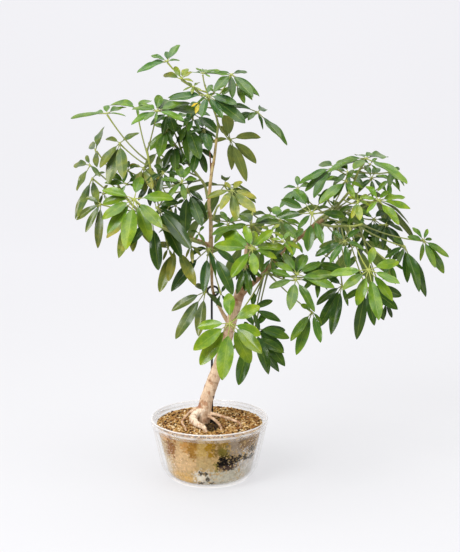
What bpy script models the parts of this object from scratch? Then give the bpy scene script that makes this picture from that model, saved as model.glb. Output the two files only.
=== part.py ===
"""Potted compacta dwarf umbrella tree: a small branching tree with finger-like leaves, in a clear glass bowl.

Metres, +Z up. The origin is the centre of the bowl's flat base. The row's front is -Y.
Sizes and places below are in millimetres, and MM scales them.
"""

import math
import random

import bmesh
import bpy
from mathutils import Matrix, Vector

MM = 0.001
GAP = 0.35
SEED = 41

# The bowl is turned: a flat base, a rounded corner and a side that flares to a rounded lip.
BOWL_RIM_RADIUS = 100.0
BOWL_HEIGHT = 105.0
BOWL_BASE_RADIUS = 58.0
BOWL_CORNER = 22.0
BOWL_CORNER_SPREAD = 3.5
BOWL_WALL = 3.0
BAND_HEIGHT = 14.0
BAND_STEP = 2.0
LIP_ROUND = 2.0
TURNED_SIDES = 28
BOWL_CORNER_STEPS = 3
LINER_CORNER_STEPS = 2

# The clear liner stands on the bowl's floor and flares until it nearly meets the bowl.
LINER_TOP = 99.0
LINER_TOP_RADIUS = 93.0
LINER_BASE_RADIUS = 57.5
LINER_CORNER = 17.0
LINER_WALL = 1.2

# Gravel fills the liner to just below its edge, with a slightly uneven top.
GRAVEL_TOP = 96.5
GRAVEL_RELIEF = 0.9
GRAVEL_RINGS = 4
GRAVEL_EDGE_DROP = 1.5
HOLE_ROOM = 0.9
HOLE_DEPTH = 0.7
HOLE_RISE = 0.3

# The stake is coated wire, pushed into the gravel, with its top bent to an eye round the leader.
STAKE_RADIUS = 1.9
STAKE_PLACE = (4.0, 22.0)
STAKE_FOOT = 40.0
EYE_CENTRE = (6.0, 28.0, 318.0)
EYE_RADIUS = 9.5
EYE_TILT = 48.0
EYE_TURN = 348.0
EYE_POINTS = 14
EYE_NECK = 6.0

# Leaf proportions: rows along a leaflet and its half widths, as shares of its reach from the hub to the tip.
STALK_END = 0.24
BLADE_ROWS = ((0.53, 0.138), (0.81, 0.136))
PLAIN_ROWS = ((0.67, 0.155),)
PLAIN_BEHIND = -9.0
HUB_RADIUS = 4.0
RIM_SHARE = 0.3
STALK_HALF_WIDTH = 1.2
RIB_DEPTH = 1.6
SMALL_REACH = 52.0
LIFT = 0.15
TIP_ROUNDS = 3
SIDE_DIFFERENCE = 0.22
SEEN_FROM_ABOVE = 11.0

# A leaf's own stalk, the petiole, joins its hub from below: shares along it from the stem, and radii there.
PETIOLE_SHARES = (0.0, 0.5, 1.0)
PETIOLE_RADII = (1.9, 1.4, 1.3)
PETIOLE_TURN = 0.55
PETIOLE_BEND = 0.22
PETIOLE_SIDES = 3
HUB_DEPTH = 2.6

# The green stem starts straight out of the wood, and bears its leaves between these shares of its length.
STEM_START = 3.0
FIRST_LEAF = 0.30
LAST_LEAF = 0.98

# Woody paths: points, and the radius at each.
WOOD = {
    "trunk": (
        [(-14, 0, 62), (-12, 0, 90), (-9, 0, 112), (-5, 2, 134), (6, 4, 167), (15, 6, 190), (27, 8, 230),
         (38, 8, 272), (51, 8, 318), (60, 8, 360), (64, 8, 396), (68, 8, 420)],
        (11.5, 10.5, 10.2, 10.0, 10.0, 9.8, 9.4, 9.0, 8.6, 5.6, 4.6, 4.0),
    ),
    "right_branch": (
        [(48, 8, 308), (62, 4, 326), (90, 2, 352), (110, 4, 376), (128, 8, 395), (152, 10, 414),
         (173, 10, 432), (190, 8, 443)],
        (6.5, 6.0, 4.6, 4.2, 4.0, 3.8, 3.6, 3.4),
    ),
    "leader": (
        [(36, 8, 262), (20, 22, 286), (6, 28, 318), (4, 22, 360), (3, 14, 395), (3, 12, 442), (0, 10, 470),
         (4, 10, 516), (9, 12, 544), (13, 12, 578)],
        (4.6, 3.0, 2.6, 2.6, 3.8, 3.2, 3.0, 2.8, 2.5, 2.3),
    ),
    "left_branch": ([(3, 14, 398), (-12, 8, 405), (-27, 4, 411), (-38, 0, 413)], (4.0, 3.8, 3.8, 3.4)),
    "dead_twig": ([(4, 10, 516), (3, 14, 532), (1, 15, 570)], (1.7, 1.4, 1.2)),
}

# Surface roots leave the trunk's foot, arch over the gravel and go down into it.
ROOTS = {
    "thick_root": ([(-10, 0, 116), (-22, -8, 113), (-27, -22, 107), (-20, -36, 103), (-8, -50, 101),
                    (-4, -55, 88)],
                   (5.4, 6.0, 5.6, 4.4, 3.2, 2.6)),
    "left_root": ([(-10, 1, 121), (-26, -3, 119), (-41, -12, 108), (-46, -26, 103), (-40, -45, 100),
                   (-38, -50, 88)],
                  (3.0, 2.6, 2.2, 2.0, 1.8, 1.6)),
    "right_root": ([(-8, 0, 112), (14, -8, 110), (38, -18, 105), (52, -28, 101), (54, -31, 88)],
                   (3.6, 2.8, 2.2, 1.9, 1.7)),
    "front_root": ([(-9, -2, 108), (4, -14, 107), (14, -30, 104), (20, -44, 100), (21, -47, 88)],
                   (3.4, 2.8, 2.4, 2.0, 1.8)),
    "back_root": ([(-9, 2, 110), (-14, 18, 108), (-22, 38, 102), (-24, 42, 88)], (4.0, 3.2, 2.4, 2.0)),
}


def leaf(hub, facing, reach, droop, fan):
    """One umbrella leaf: its hub, the way its upper side faces, the mean length of its leaflets, how far they
    bend down, and their directions in degrees, anticlockwise from the right as seen from in front of it."""
    if isinstance(fan, int):
        fan = tuple(round(15 + 360 * i / fan) for i in range(fan))
    return {"hub": hub, "facing": facing, "reach": reach, "droop": droop, "fan": fan}


def seen(hub, facing, sag, *tips):
    """One umbrella leaf at the front of the tree: its hub, the way its upper side faces, how far its leaflets
    sag, and where their tips lie, across and up from the hub as seen from in front and a little above."""
    return {"hub": hub, "facing": facing, "sag": sag, "tips": tips}


# Leafy shoots: the wood that each grows from and how far along it, the green stem and its radii, and the
# leaves from the lowest on the stem to the highest.
SHOOTS = {
    "top_shoot": {
        "from": ("leader", 1.0),
        "stem": [(15, 12, 602), (8, 10, 626), (-1, 10, 649), (-6, 10, 664)],
        "radii": (2.2, 1.3),
        "leaves": [
            seen((35, 26, 575), (0.1, 0.8, 0.5), 10,
                 (51, 0), (40, -43), (25, -68), (2, -50), (-30, -6), (-18, 20), (-7, 33)),
            seen((80, 0, 621), (0.4, -0.45, 0.8), 10,
                 (48, -54), (36, -47), (8, -30), (-16, -16), (-38, -18), (-46, 7), (14, 12)),
            seen((-2, -20, 649), (-0.1, -0.6, 0.8), 7,
                 (61, -48), (48, -19), (25, -40), (-7, -41), (-19, -19), (-60, -9), (-64, 0), (8, 20)),
            seen((37, -15, 682), (0.1, -0.6, 0.8), 6,
                 (46, -35), (34, -44), (2, -41), (-27, -35), (-22, 6), (26, 5)),
            seen((-67, 15, 702), (-0.1, -0.6, 0.75), 6,
                 (18, 7), (18, 31), (5, 26), (-18, 17), (-42, -7), (-45, -20)),
            seen((-44, 0, 674), (-0.2, -0.6, 0.8), 4,
                 (20, -4), (18, 12), (9, 24), (-12, 24), (-31, 14)),
            seen((-9, 10, 683), (0.1, -0.3, 0.95), 3,
                 (44, 4), (27, 8), (8, 14), (-12, 12), (-24, 5), (12, -8)),
        ],
    },
    "left_tip_shoot": {
        "from": ("left_branch", 1.0),
        "stem": [(-53, 0, 437), (-69, 5, 472), (-87, 5, 503), (-96, 0, 532), (-101, 0, 562)],
        "radii": (3.0, 1.8),
        "leaves": [
            seen((-54, -24, 403), (-0.1, -0.8, 0.55), 10,
                 (33, -64), (-10, -56), (-26, -74), (-34, 4), (20, 16)),
            seen((-124, -20, 457), (0.05, -0.75, 0.65), 8,
                 (2, -62), (-18, -73), (36, -52), (-40, -40), (48, -10)),
            seen((-92, -28, 450), (0.0, -0.8, 0.5), 8, (11, -84), (-34, -42), (-24, 24), (26, 22)),
            seen((-85, -28, 469), (0.1, -0.75, 0.65), 12,
                 (42, -83), (57, -68), (50, -34), (36, 8), (-12, 28)),
            seen((-36, 2, 495), (0.1, -0.75, 0.65), 8,
                 (-2, -74), (26, -62), (33, -50), (26, -20), (-22, -22), (-24, 12), (8, 24)),
            seen((-43, -18, 510), (0.1, -0.7, 0.7), 5,
                 (24, 6), (13, 26), (-10, 33), (-34, 3), (-24, -28), (5, -32)),
            seen((-74, -10, 524), (0.0, -0.75, 0.6), 6,
                 (24, -4), (12, -28), (-9, -40), (-30, -20), (-16, 14)),
            seen((-133, -20, 506), (0.0, -0.8, 0.5), 4,
                 (28, -8), (25, 18), (-34, 20), (-36, 2), (-14, -22)),
            seen((-107, -5, 531), (0.0, -0.8, 0.55), 6,
                 (28, -20), (17, -38), (4, -40), (-13, -38), (-26, 4), (14, 12)),
            seen((-145, 0, 571), (-0.1, -0.7, 0.65), 8,
                 (30, 19), (10, -62), (-17, -68), (-30, -42), (-26, 10)),
            seen((-163, -20, 620), (-0.15, -0.3, 0.95), 6,
                 (25, 17), (-4, 17), (-38, 6), (-58, -8), (30, -4)),
            seen((-117, 10, 627), (0.05, -0.3, 0.95), 6,
                 (24, 4), (20, 20), (-50, 15), (-27, -2), (3, -14)),
            seen((-82, -25, 624), (0.1, -0.5, 0.85), 7,
                 (70, 6), (53, 18), (18, 29), (2, 30),
                 (-31, 13), (-40, -24), (-19, -18), (-2, -20), (44, -16)),
        ],
    },
    "left_side_shoot": {
        "from": ("left_branch", 0.3),
        "stem": [(-22, -46, 416), (-78, -56, 442), (-116, -32, 466), (-138, 0, 484), (-158, 10, 515)],
        "radii": (2.8, 1.8),
        "leaves": [
            seen((-117, -70, 488), (0.0, -0.7, 0.7), 8,
                 (62, 2), (46, -47), (28, -67), (-7, -81),
                 (-41, -56), (-48, -34), (-52, -6), (-52, 14), (7, 40)),
            seen((-192, 5, 513), (-0.3, -0.7, 0.6), 10,
                 (20, 10), (14, -52), (6, -40), (-18, -68), (-27, -68)),
            seen((-173, -46, 477), (-0.1, -0.85, 0.45), 10,
                 (-4, -72), (-23, -46), (-40, -26), (-26, 10)),
            seen((-193, -12, 536), (-0.5, -0.6, 0.6), 6,
                 (18, -20), (-18, -44), (-32, 3), (-10, 18)),
            seen((-187, 15, 558), (-0.6, -0.5, 0.6), 5, (8, 46), (9, 22), (-14, 15), (6, -30)),
        ],
    },
    "inner_shoot": {
        "from": ("leader", 0.67),
        "stem": [(-8, 28, 500), (-26, 44, 522), (-44, 54, 548), (-54, 58, 576)],
        "radii": (2.6, 1.8),
        "leaves": [
            seen((-99, 38, 499), (-0.25, -0.8, 0.5), 8,
                 (27, 7), (23, -23), (0, -37), (-20, -27), (-23, 7), (-2, 30)),
            seen((-86, 52, 552), (-0.1, -0.75, 0.6), 8, (4, -44), (-22, -30), (-16, 22), (26, 12)),
            seen((-57, 38, 566), (0.0, -0.75, 0.6), 8,
                 (16, -36), (2, -46), (-18, -42), (-28, -16), (18, 14)),
            seen((-56, 60, 603), (0.0, -0.6, 0.75), 8,
                 (9, -30), (-12, -36), (-24, -28), (-28, 4), (16, 18)),
            seen((-37, 40, 598), (0.1, -0.75, 0.6), 10,
                 (46, -26), (23, -60), (6, -66), (-10, -30), (-38, -18), (8, 22)),
            seen((-18, 26, 561), (0.1, -0.75, 0.6), 8,
                 (14, -42), (-8, -44), (-27, -26), (26, -18), (12, 20)),
            seen((-60, 30, 535), (0.0, -0.75, 0.65), 8,
                 (28, 2), (18, -25), (-2, -35), (-22, -22), (-22, 8), (2, 25)),
            seen((-71, 34, 590), (-0.1, -0.7, 0.7), 8,
                 (12, -30), (-9, -48), (-27, -34), (-20, 10), (16, 8)),
            seen((-8, 34, 590), (0.1, -0.6, 0.8), 8,
                 (20, -13), (10, -38), (-10, -33), (-23, -7), (-13, 23), (15, 20)),
            seen((-68, 42, 617), (-0.05, -0.65, 0.75), 8,
                 (27, -15), (13, -35), (-8, -38), (-28, -22), (-20, 15), (17, 18)),
            seen((-28, 48, 617), (0.1, -0.6, 0.8), 8,
                 (43, -34), (30, -4), (8, 24), (-20, 8), (-14, -24)),
        ],
    },
    "leader_side_shoot": {
        "from": ("leader", 0.56),
        "stem": [(14, -6, 466), (24, -18, 476)],
        "radii": (2.0, 1.6),
        "leaves": [
            seen((38, -45, 499), (0.05, -0.65, 0.75), 5,
                 (40, -13), (37, -38), (7, -50), (-18, -32), (-40, -12), (-12, 14), (16, 16)),
        ],
    },
    "junction_shoot": {
        "from": ("leader", 0.42),
        "stem": [(3, -4, 398), (-2, -14, 392)],
        "radii": (2.4, 1.8),
        "leaves": [
            seen((-6, -30, 329), (-0.2, -0.8, 0.5), 10,
                 (28, -26), (-10, -72), (-43, -80), (-53, -37), (-36, 10)),
            seen((-28, -42, 407), (-0.2, -0.8, 0.5), 8,
                 (16, -16), (3, -28), (-9, -19), (-11, 10), (-2, 19)),
            seen((0, -20, 399), (0.0, -0.8, 0.55), 10,
                 (43, -24), (40, -74), (12, -44), (-8, -72), (-60, -70), (-30, -12)),
        ],
    },
    "trunk_top_shoot": {
        "from": ("trunk", 1.0),
        "stem": [(70, -2, 434), (74, -14, 440)],
        "radii": (2.8, 1.8),
        "leaves": [
            seen((63, -18, 377), (0.0, -0.8, 0.5), 8,
                 (14, -34), (-3, -48), (-18, -30), (-18, 6), (18, 6)),
            seen((119, 12, 442), (0.0, -0.5, 0.85), 8,
                 (34, -6), (26, -33), (-8, -30), (-32, 7), (-8, 26), (16, 20)),
            seen((70, -85, 410), (0.0, -0.75, 0.65), 5,
                 (53, 5), (34, 31), (4, 30), (-12, 38), (-48, 29), (-60, 5), (-33, -45), (4, -41), (40, -15)),
            seen((119, -75, 421), (0.15, -0.6, 0.8), 4,
                 (29, -12), (12, 15), (-5, 13), (-18, 4), (16, -22)),
            seen((71, -35, 441), (0.0, -0.45, 0.9), 8,
                 (46, 7), (30, 15), (-15, 24), (-65, -18), (-46, -6), (-24, 16)),
        ],
    },
    "lower_front_shoot": {
        "from": ("right_branch", 0.3),
        "stem": [(92, -16, 356), (98, -30, 362)],
        "radii": (2.8, 2.0),
        "leaves": [
            seen((69, -62, 261), (0.1, -0.8, 0.55), 8,
                 (58, 10), (54, -26), (47, -57), (-20, -74), (-30, -20), (-10, 24)),
            seen((71, -52, 304), (0.15, -0.8, 0.5), 6,
                 (48, -20), (34, 14), (4, 26), (-24, -10), (12, -34)),
            seen((35, -120, 297), (-0.05, -0.8, 0.55), 6,
                 (-2, 47), (47, 28), (48, -19), (49, -45),
                 (32, -62), (-12, -86), (-47, -65), (-57, -41), (-52, -7)),
            seen((124, -45, 382), (0.1, -0.8, 0.55), 8,
                 (26, 0), (20, -23), (-2, -31), (-23, -16), (-20, 15), (8, 24)),
            seen((177, -62, 361), (0.25, -0.8, 0.5), 8,
                 (16, -22), (-2, -35), (-24, -22), (-24, 6), (3, 25)),
            seen((168, -70, 304), (-0.05, -0.8, 0.5), 8,
                 (8, -28), (4, -65), (-26, -69), (-36, -46), (-18, 12)),
            seen((140, -85, 361), (0.05, -0.65, 0.75), 5,
                 (53, -9), (60, 8), (15, 44), (-42, 13), (-43, -14), (-12, -48), (28, -52)),
        ],
    },
    "right_up_shoot": {
        "from": ("right_branch", 1.0),
        "stem": [(202, 8, 453), (216, 9, 470), (235, 12, 494), (246, 14, 520), (256, 14, 536)],
        "radii": (2.8, 1.8),
        "leaves": [
            seen((168, -35, 460), (0.0, -0.8, 0.55), 6,
                 (56, -4), (34, 42), (-28, 42), (-50, 22), (-58, -5), (-24, -26), (-8, -62), (15, -50)),
            seen((241, -45, 481), (0.0, -0.6, 0.8), 4,
                 (22, -8), (16, 12), (-4, 16), (-16, 8), (-12, -28), (-1, -32)),
            seen((273, -55, 484), (0.15, -0.6, 0.75), 5,
                 (48, 5), (18, 17), (-16, 26), (-30, 4), (-21, -21), (27, -41), (53, -15)),
            seen((225, -10, 510), (-0.1, -0.6, 0.8), 7,
                 (27, -12), (10, -30), (-22, -30), (-46, -38), (-38, 6), (14, 20)),
            seen((208, 10, 531), (-0.4, -0.5, 0.8), 8,
                 (-26, -24), (-39, -52), (-50, -38), (-60, -26), (-24, 10), (20, -4)),
            seen((304, 10, 524), (0.6, -0.5, 0.6), 6,
                 (10, -32), (18, -25), (25, -13), (14, 6), (-18, 6), (-14, -28)),
            seen((259, 10, 545), (0.1, -0.3, 0.95), 8,
                 (46, 13), (12, 12), (-10, 13), (-52, -8), (-66, -22), (-26, -24), (45, -26), (54, -46)),
        ],
    },
    "right_low_shoot": {
        "from": ("right_branch", 0.94),
        "stem": [(206, -6, 434), (222, -12, 436), (238, -16, 436), (252, -20, 440)],
        "radii": (2.6, 1.8),
        "leaves": [
            seen((220, -24, 338), (-0.2, -0.9, 0.35), 8,
                 (12, -34), (-13, -82), (-31, -71), (-42, -32), (-22, 14)),
            seen((227, -34, 365), (-0.1, -0.85, 0.45), 8,
                 (30, -8), (-40, -14), (-63, -2), (-50, 10), (16, 24)),
            seen((221, -45, 416), (-0.05, -0.7, 0.7), 8,
                 (28, 20), (30, -14), (4, -46), (-26, -36), (-48, -24), (-20, 16)),
            seen((256, -56, 342), (0.0, -0.95, 0.25), 8,
                 (60, -14), (50, -36), (30, -54), (12, -62), (-15, -86), (-36, -20)),
            seen((253, -110, 381), (0.0, -0.75, 0.65), 5,
                 (50, 12), (10, 36), (-60, -8), (-44, -32), (-21, -56), (9, -76), (36, -49), (46, -22)),
                        seen((296, -38, 380), (0.3, -0.9, 0.3), 8,
                 (23, 16), (24, -13), (10, -36), (-13, -29), (-18, 0), (0, 23)),
            seen((320, -34, 406), (0.25, -0.85, 0.4), 8,
                 (36, -83), (22, -74), (4, -60), (-14, -32), (-33, -20), (-18, 12)),
            seen((354, -14, 412), (0.35, -0.8, 0.45), 5,
                 (16, 2), (8, 19), (-17, 22), (-29, 5), (-6, -34), (17, -45), (37, -54), (42, -28)),
        ],
    },
    "back_shoot": {
        "from": ("trunk", 0.97),
        "stem": [(70, 34, 424), (72, 66, 440), (76, 92, 448)],
        "radii": (2.8, 1.8),
        "leaves": [
            seen((32, 26, 433), (0.0, -0.75, 0.65), 8,
                 (20, 17), (20, -27), (-2, -39), (-23, -32), (-29, -5), (-13, 23)),
            seen((121, 26, 382), (0.0, -0.75, 0.6), 8,
                 (28, -12), (10, -28), (-14, -24), (-24, 2), (18, 12)),
            leaf((62, 130, 389), (-0.1, 0.7, 0.7), 70, 0.35, 7),
            leaf((-9, 110, 437), (-0.2, 0.3, 0.95), 70, 0.3, 7),
            leaf((106, 150, 431), (0.2, 0.5, 0.85), 74, 0.3, 7),
            leaf((26, 150, 485), (0.0, 0.5, 0.85), 72, 0.3, 7),
        ],
    },
    "right_back_shoot": {
        "from": ("right_branch", 0.86),
        "stem": [(184, 34, 440), (206, 62, 450), (226, 78, 456)],
        "radii": (2.8, 1.8),
        "leaves": [
            seen((217, 18, 438), (0.0, -0.75, 0.6), 8,
                 (26, -8), (8, -35), (-12, -32), (-27, -6), (14, 18)),
            leaf((253, 90, 387), (0.3, 0.75, 0.55), 72, 0.25, 7),
            seen((296, 22, 434), (0.1, -0.75, 0.6), 8,
                 (30, -12), (16, -37), (-6, -43), (-25, -22), (12, 15)),
            seen((258, 18, 414), (0.0, -0.75, 0.6), 8,
                 (27, -13), (14, -38), (-8, -38), (-27, -20), (-12, 16)),
            seen((149, 40, 492), (-0.1, -0.6, 0.75), 8,
                 (24, 8), (17, -29), (-12, -27), (-32, -34), (-24, 3), (0, 22)),
            seen((234, 48, 518), (-0.1, -0.6, 0.75), 8,
                 (30, -3), (23, -27), (-2, -37), (-27, -23), (-30, 7), (-10, 20)),
            leaf((287, 100, 465), (0.3, 0.4, 0.85), 70, 0.35, 7),
            seen((245, 22, 464), (0.0, -0.7, 0.7), 8,
                 (26, -18), (8, -38), (-14, -34), (-29, -10), (14, 18)),
            seen((274, 50, 508), (0.1, -0.6, 0.75), 8,
                 (33, 3), (23, -23), (0, -33), (-25, -23), (-33, 3), (-10, 23), (17, 23)),
            seen((300, 24, 508), (0.2, -0.6, 0.75), 8,
                 (25, 3), (17, -20), (-2, -33), (-22, -20), (-20, 10), (8, 20)),
            seen((277, 34, 441), (0.1, -0.7, 0.7), 10,
                 (50, -50), (37, -12), (24, 14), (-20, 10), (-21, -42), (0, -48), (18, -44)),
            leaf((219, 120, 447), (0.1, 0.5, 0.85), 72, 0.35, 7),
        ],
    },
}


def clear_scene():
    for old in list(bpy.data.objects):
        bpy.data.objects.remove(old)


def collection(name, hidden=False):
    made = bpy.data.collections.new(name)
    made.hide_render = hidden
    bpy.context.scene.collection.children.link(made)
    return made


def material(name, colour, roughness, transmission=0.0):
    made = bpy.data.materials.new(name)
    made.use_nodes = True
    surface = made.node_tree.nodes["Principled BSDF"]
    surface.inputs["Base Color"].default_value = (*colour, 1.0)
    surface.inputs["Roughness"].default_value = roughness
    surface.inputs["Transmission Weight"].default_value = transmission
    return made


def mesh_object(name, bm, home):
    """Makes a bmesh in millimetres into an object in metres."""
    bmesh.ops.scale(bm, vec=(MM, MM, MM), verts=bm.verts)
    mesh = bpy.data.meshes.new(name)
    bm.to_mesh(mesh)
    bm.free()
    made = bpy.data.objects.new(name, mesh)
    home.objects.link(made)
    return made


def finish(made, finish_material, edge_angle=40):
    made.data.materials.clear()
    made.data.materials.append(finish_material)
    made.data.shade_smooth()
    made.data.set_sharp_from_angle(angle=math.radians(edge_angle))


def settled(made, home):
    """The object's mesh as its modifiers or its curve give it, with curve caps welded, as a plain object."""
    graph = bpy.context.evaluated_depsgraph_get()
    mesh = bpy.data.meshes.new_from_object(made.evaluated_get(graph))
    bm = bmesh.new()
    bm.from_mesh(mesh)
    bmesh.ops.remove_doubles(bm, verts=bm.verts, dist=1e-6)
    loose = [edge for edge in bm.edges if not edge.link_faces]
    bmesh.ops.delete(bm, geom=loose, context="EDGES")
    bm.to_mesh(mesh)
    bm.free()
    plain = bpy.data.objects.new(made.name, mesh)
    plain.matrix_world = made.matrix_world
    name = made.name
    bpy.data.objects.remove(made)
    plain.name = name
    home.objects.link(plain)
    return plain


def arc(centre, radius, start, end, steps):
    """Points of an arc in a turned profile, from one angle to another in degrees."""
    angles = [math.radians(start + (end - start) * i / steps) for i in range(steps + 1)]
    return [(centre[0] + radius * math.cos(a), centre[1] + radius * math.sin(a)) for a in angles]


def turned(name, profile, home):
    """Turns a profile of (radius, height) points, given down the outer side, about the vertical axis."""
    bm = bmesh.new()
    line = [bm.verts.new((radius, 0, height)) for radius, height in profile]
    for upper, lower in zip(line, line[1:]):
        bm.edges.new((upper, lower))
    made = mesh_object(name, bm, home)
    screw = made.modifiers.new("Turn", "SCREW")
    screw.steps = TURNED_SIDES
    screw.render_steps = TURNED_SIDES
    screw.use_merge_vertices = True
    screw.merge_threshold = 0.00005
    return settled(made, home)


def tube(name, points, radii, roundness, home):
    """A solid tube along points, with a radius at each. Roundness 0 gives four sides, each step two more."""
    curve = bpy.data.curves.new(name, "CURVE")
    curve.dimensions = "3D"
    curve.bevel_depth = MM
    curve.bevel_resolution = roundness
    curve.use_fill_caps = True
    spline = curve.splines.new("POLY")
    spline.points.add(len(points) - 1)
    for point, place, radius in zip(spline.points, points, radii):
        point.co = (*(Vector(place) * MM), 1.0)
        point.radius = radius
    made = bpy.data.objects.new(name, curve)
    home.objects.link(made)
    return settled(made, home)


def fused(name, pieces, home, solver="EXACT"):
    """One solid from overlapping pieces, which are removed."""
    first, rest = pieces[0], pieces[1:]
    first.name = name
    if rest:
        group = collection(name + "_pieces", hidden=True)
        for piece in rest:
            home.objects.unlink(piece)
            group.objects.link(piece)
        join = first.modifiers.new("Join", "BOOLEAN")
        join.operation = "UNION"
        join.operand_type = "COLLECTION"
        join.collection = group
        join.solver = solver
        first = settled(first, home)
        for piece in rest:
            bpy.data.objects.remove(piece)
        bpy.data.collections.remove(group)
    return first


def cut(made, cutters, home):
    """The solid with plain holes where the cutters stand."""
    for cutter in cutters:
        hole = made.modifiers.new("Hole", "BOOLEAN")
        hole.operation = "DIFFERENCE"
        hole.object = cutter
        hole.solver = "EXACT"
    made = settled(made, home)
    for cutter in cutters:
        bpy.data.objects.remove(cutter)
    return made


def along(points, share):
    """The point at a share of a path's length, the path's direction there and its place in the points."""
    points = [Vector(p) for p in points]
    lengths = [(b - a).length for a, b in zip(points, points[1:])]
    left = share * sum(lengths)
    for i, length in enumerate(lengths):
        if left <= length or i == len(lengths) - 1:
            part = min(left / length, 1.0)
            return points[i].lerp(points[i + 1], part), (points[i + 1] - points[i]).normalized(), i + part
        left -= length


def radius_along(radii, place):
    i = min(int(place), len(radii) - 2)
    return radii[i] + (radii[i + 1] - radii[i]) * (place - i)


def shoot_stem(shoot):
    """The points of a shoot's green stem: it starts face to face with the wood, a gap away."""
    name, share = shoot["from"]
    points, radii = WOOD[name]
    foot, direction, place = along(points, share)
    if share < 1.0:
        away = (Vector(shoot["stem"][0]) - foot).normalized()
        slope = abs(away.dot(direction))
        reach = radius_along(radii, place) + GAP + shoot["radii"][0] * slope
        start = foot + away * reach / math.sqrt(1.0 - slope * slope)
    else:
        away = direction
        start = foot + away * GAP
    return [start, start + away * STEM_START] + [Vector(p) for p in shoot["stem"]]


def petiole_points(root, hub, facing):
    """A leaf's stalk: out from the stem, then up to the hub from behind."""
    bend = root.lerp(hub, PETIOLE_TURN) - facing * (hub - root).length * PETIOLE_BEND
    top = hub - facing * HUB_DEPTH
    return [root * (1 - t) ** 2 + bend * 2 * t * (1 - t) + top * t * t for t in PETIOLE_SHARES]


def leaf_frame(facing):
    """Axes of a leaf's plane: to the right, up, and out of its upper side."""
    right = Vector((1, 0, 0))
    right = (right - facing * right.dot(facing)).normalized()
    return Matrix((right, facing.cross(right), facing)).transposed()


def lift(i):
    """How far a leaflet rises out of its leaf's plane, as a share of its reach: neighbours go up and down."""
    return LIFT if i % 2 else -LIFT


def fan_runs(spec, root, to_plane, draw):
    """The runs of a leaf given by its fan. Leaflets that point away from the stem are the longest."""
    away = to_plane @ (Vector(spec["hub"]) - root)
    largest = math.atan2(away.y, away.x)
    runs = []
    for i, angle in enumerate(map(math.radians, spec["fan"])):
        reach = spec["reach"] * (1 + SIDE_DIFFERENCE * math.cos(angle - largest)) * draw.uniform(0.93, 1.05)
        runs.append((Vector((math.cos(angle), math.sin(angle), lift(i))) * reach, spec["droop"] * reach))
    return runs


def seen_runs(spec, facing, to_plane):
    """The runs of a leaf given by its tips: each tip is put back until it is as far out of the leaf's plane
    as its lift and its sag bring it."""
    tilt = math.radians(SEEN_FROM_ABOVE)
    fall = Vector((0, 0, spec["sag"]))
    runs = []
    for i, (across, up) in enumerate(spec["tips"]):
        toward = facing.x * across + facing.z * (up / math.cos(tilt) + spec["sag"])
        raised = 0.0
        for _ in range(TIP_ROUNDS):
            back = (raised - toward) / (facing.y - facing.z * math.tan(tilt))
            tip = Vector((across, back, (up - math.sin(tilt) * back) / math.cos(tilt)))
            raised = lift(i) * (tip + fall).length
        runs.append((to_plane @ (tip + fall), spec["sag"]))
    return runs


def leaflet_rows(spec, root, draw):
    """For each leaflet, its direction and its rows outwards: left edge, rib below, right edge, then tip."""
    facing = Vector(spec["facing"]).normalized()
    to_plane = leaf_frame(facing).transposed()
    runs = seen_runs(spec, facing, to_plane) if "tips" in spec else fan_runs(spec, root, to_plane, draw)
    runs = sorted(runs, key=lambda pair: math.atan2(pair[0].y, pair[0].x))
    down = to_plane @ Vector((0, 0, -1))
    blade = PLAIN_ROWS if spec["hub"][1] > PLAIN_BEHIND else BLADE_ROWS
    leaflets = []
    for out, sag in runs:
        reach = out.length
        stalk = ((STALK_END, STALK_HALF_WIDTH / reach),) if reach > SMALL_REACH else ()
        rows = []
        for share, half_width in stalk + blade:
            middle = out * share + down * sag * share * share
            run = out + down * sag * 2 * share
            across = Vector((0, 0, 1)).cross(run).normalized()
            under = across.cross(run).normalized() * RIB_DEPTH
            side = across * half_width * reach
            rows.append((middle + side, middle + under, middle - side))
        rows.append((out + down * sag,))
        leaflets.append((math.atan2(out.y, out.x), rows))
    return leaflets


def petiole(bm, points, to_leaf):
    """Lofts a leaf's stalk up to the hub and returns the edges of its open top."""
    side = (points[-1] - points[0]).cross(points[-1] - points[-2])
    side = to_leaf.to_3x3() @ side.normalized() if side.length > MM else Vector((1, 0, 0))
    points = [to_leaf @ point for point in points]
    last = None
    for i, (point, radius) in enumerate(zip(points, PETIOLE_RADII)):
        last_one = i == len(points) - 1
        run = Vector((0, 0, 1)) if last_one else (points[i + 1] - points[max(i - 1, 0)]).normalized()
        turns = [Matrix.Rotation(math.tau * k / PETIOLE_SIDES, 3, run) for k in range(PETIOLE_SIDES)]
        round_run = [turn @ side for turn in turns]
        ring = [bm.verts.new(point + spoke * radius) for spoke in round_run]
        if last is None:
            bm.faces.new(ring)
        else:
            for k in range(PETIOLE_SIDES):
                bm.faces.new((last[k - 1], last[k], ring[k], ring[k - 1]))
        last = ring
    return [bm.edges.get((last[k - 1], last[k])) for k in range(PETIOLE_SIDES)]


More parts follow.
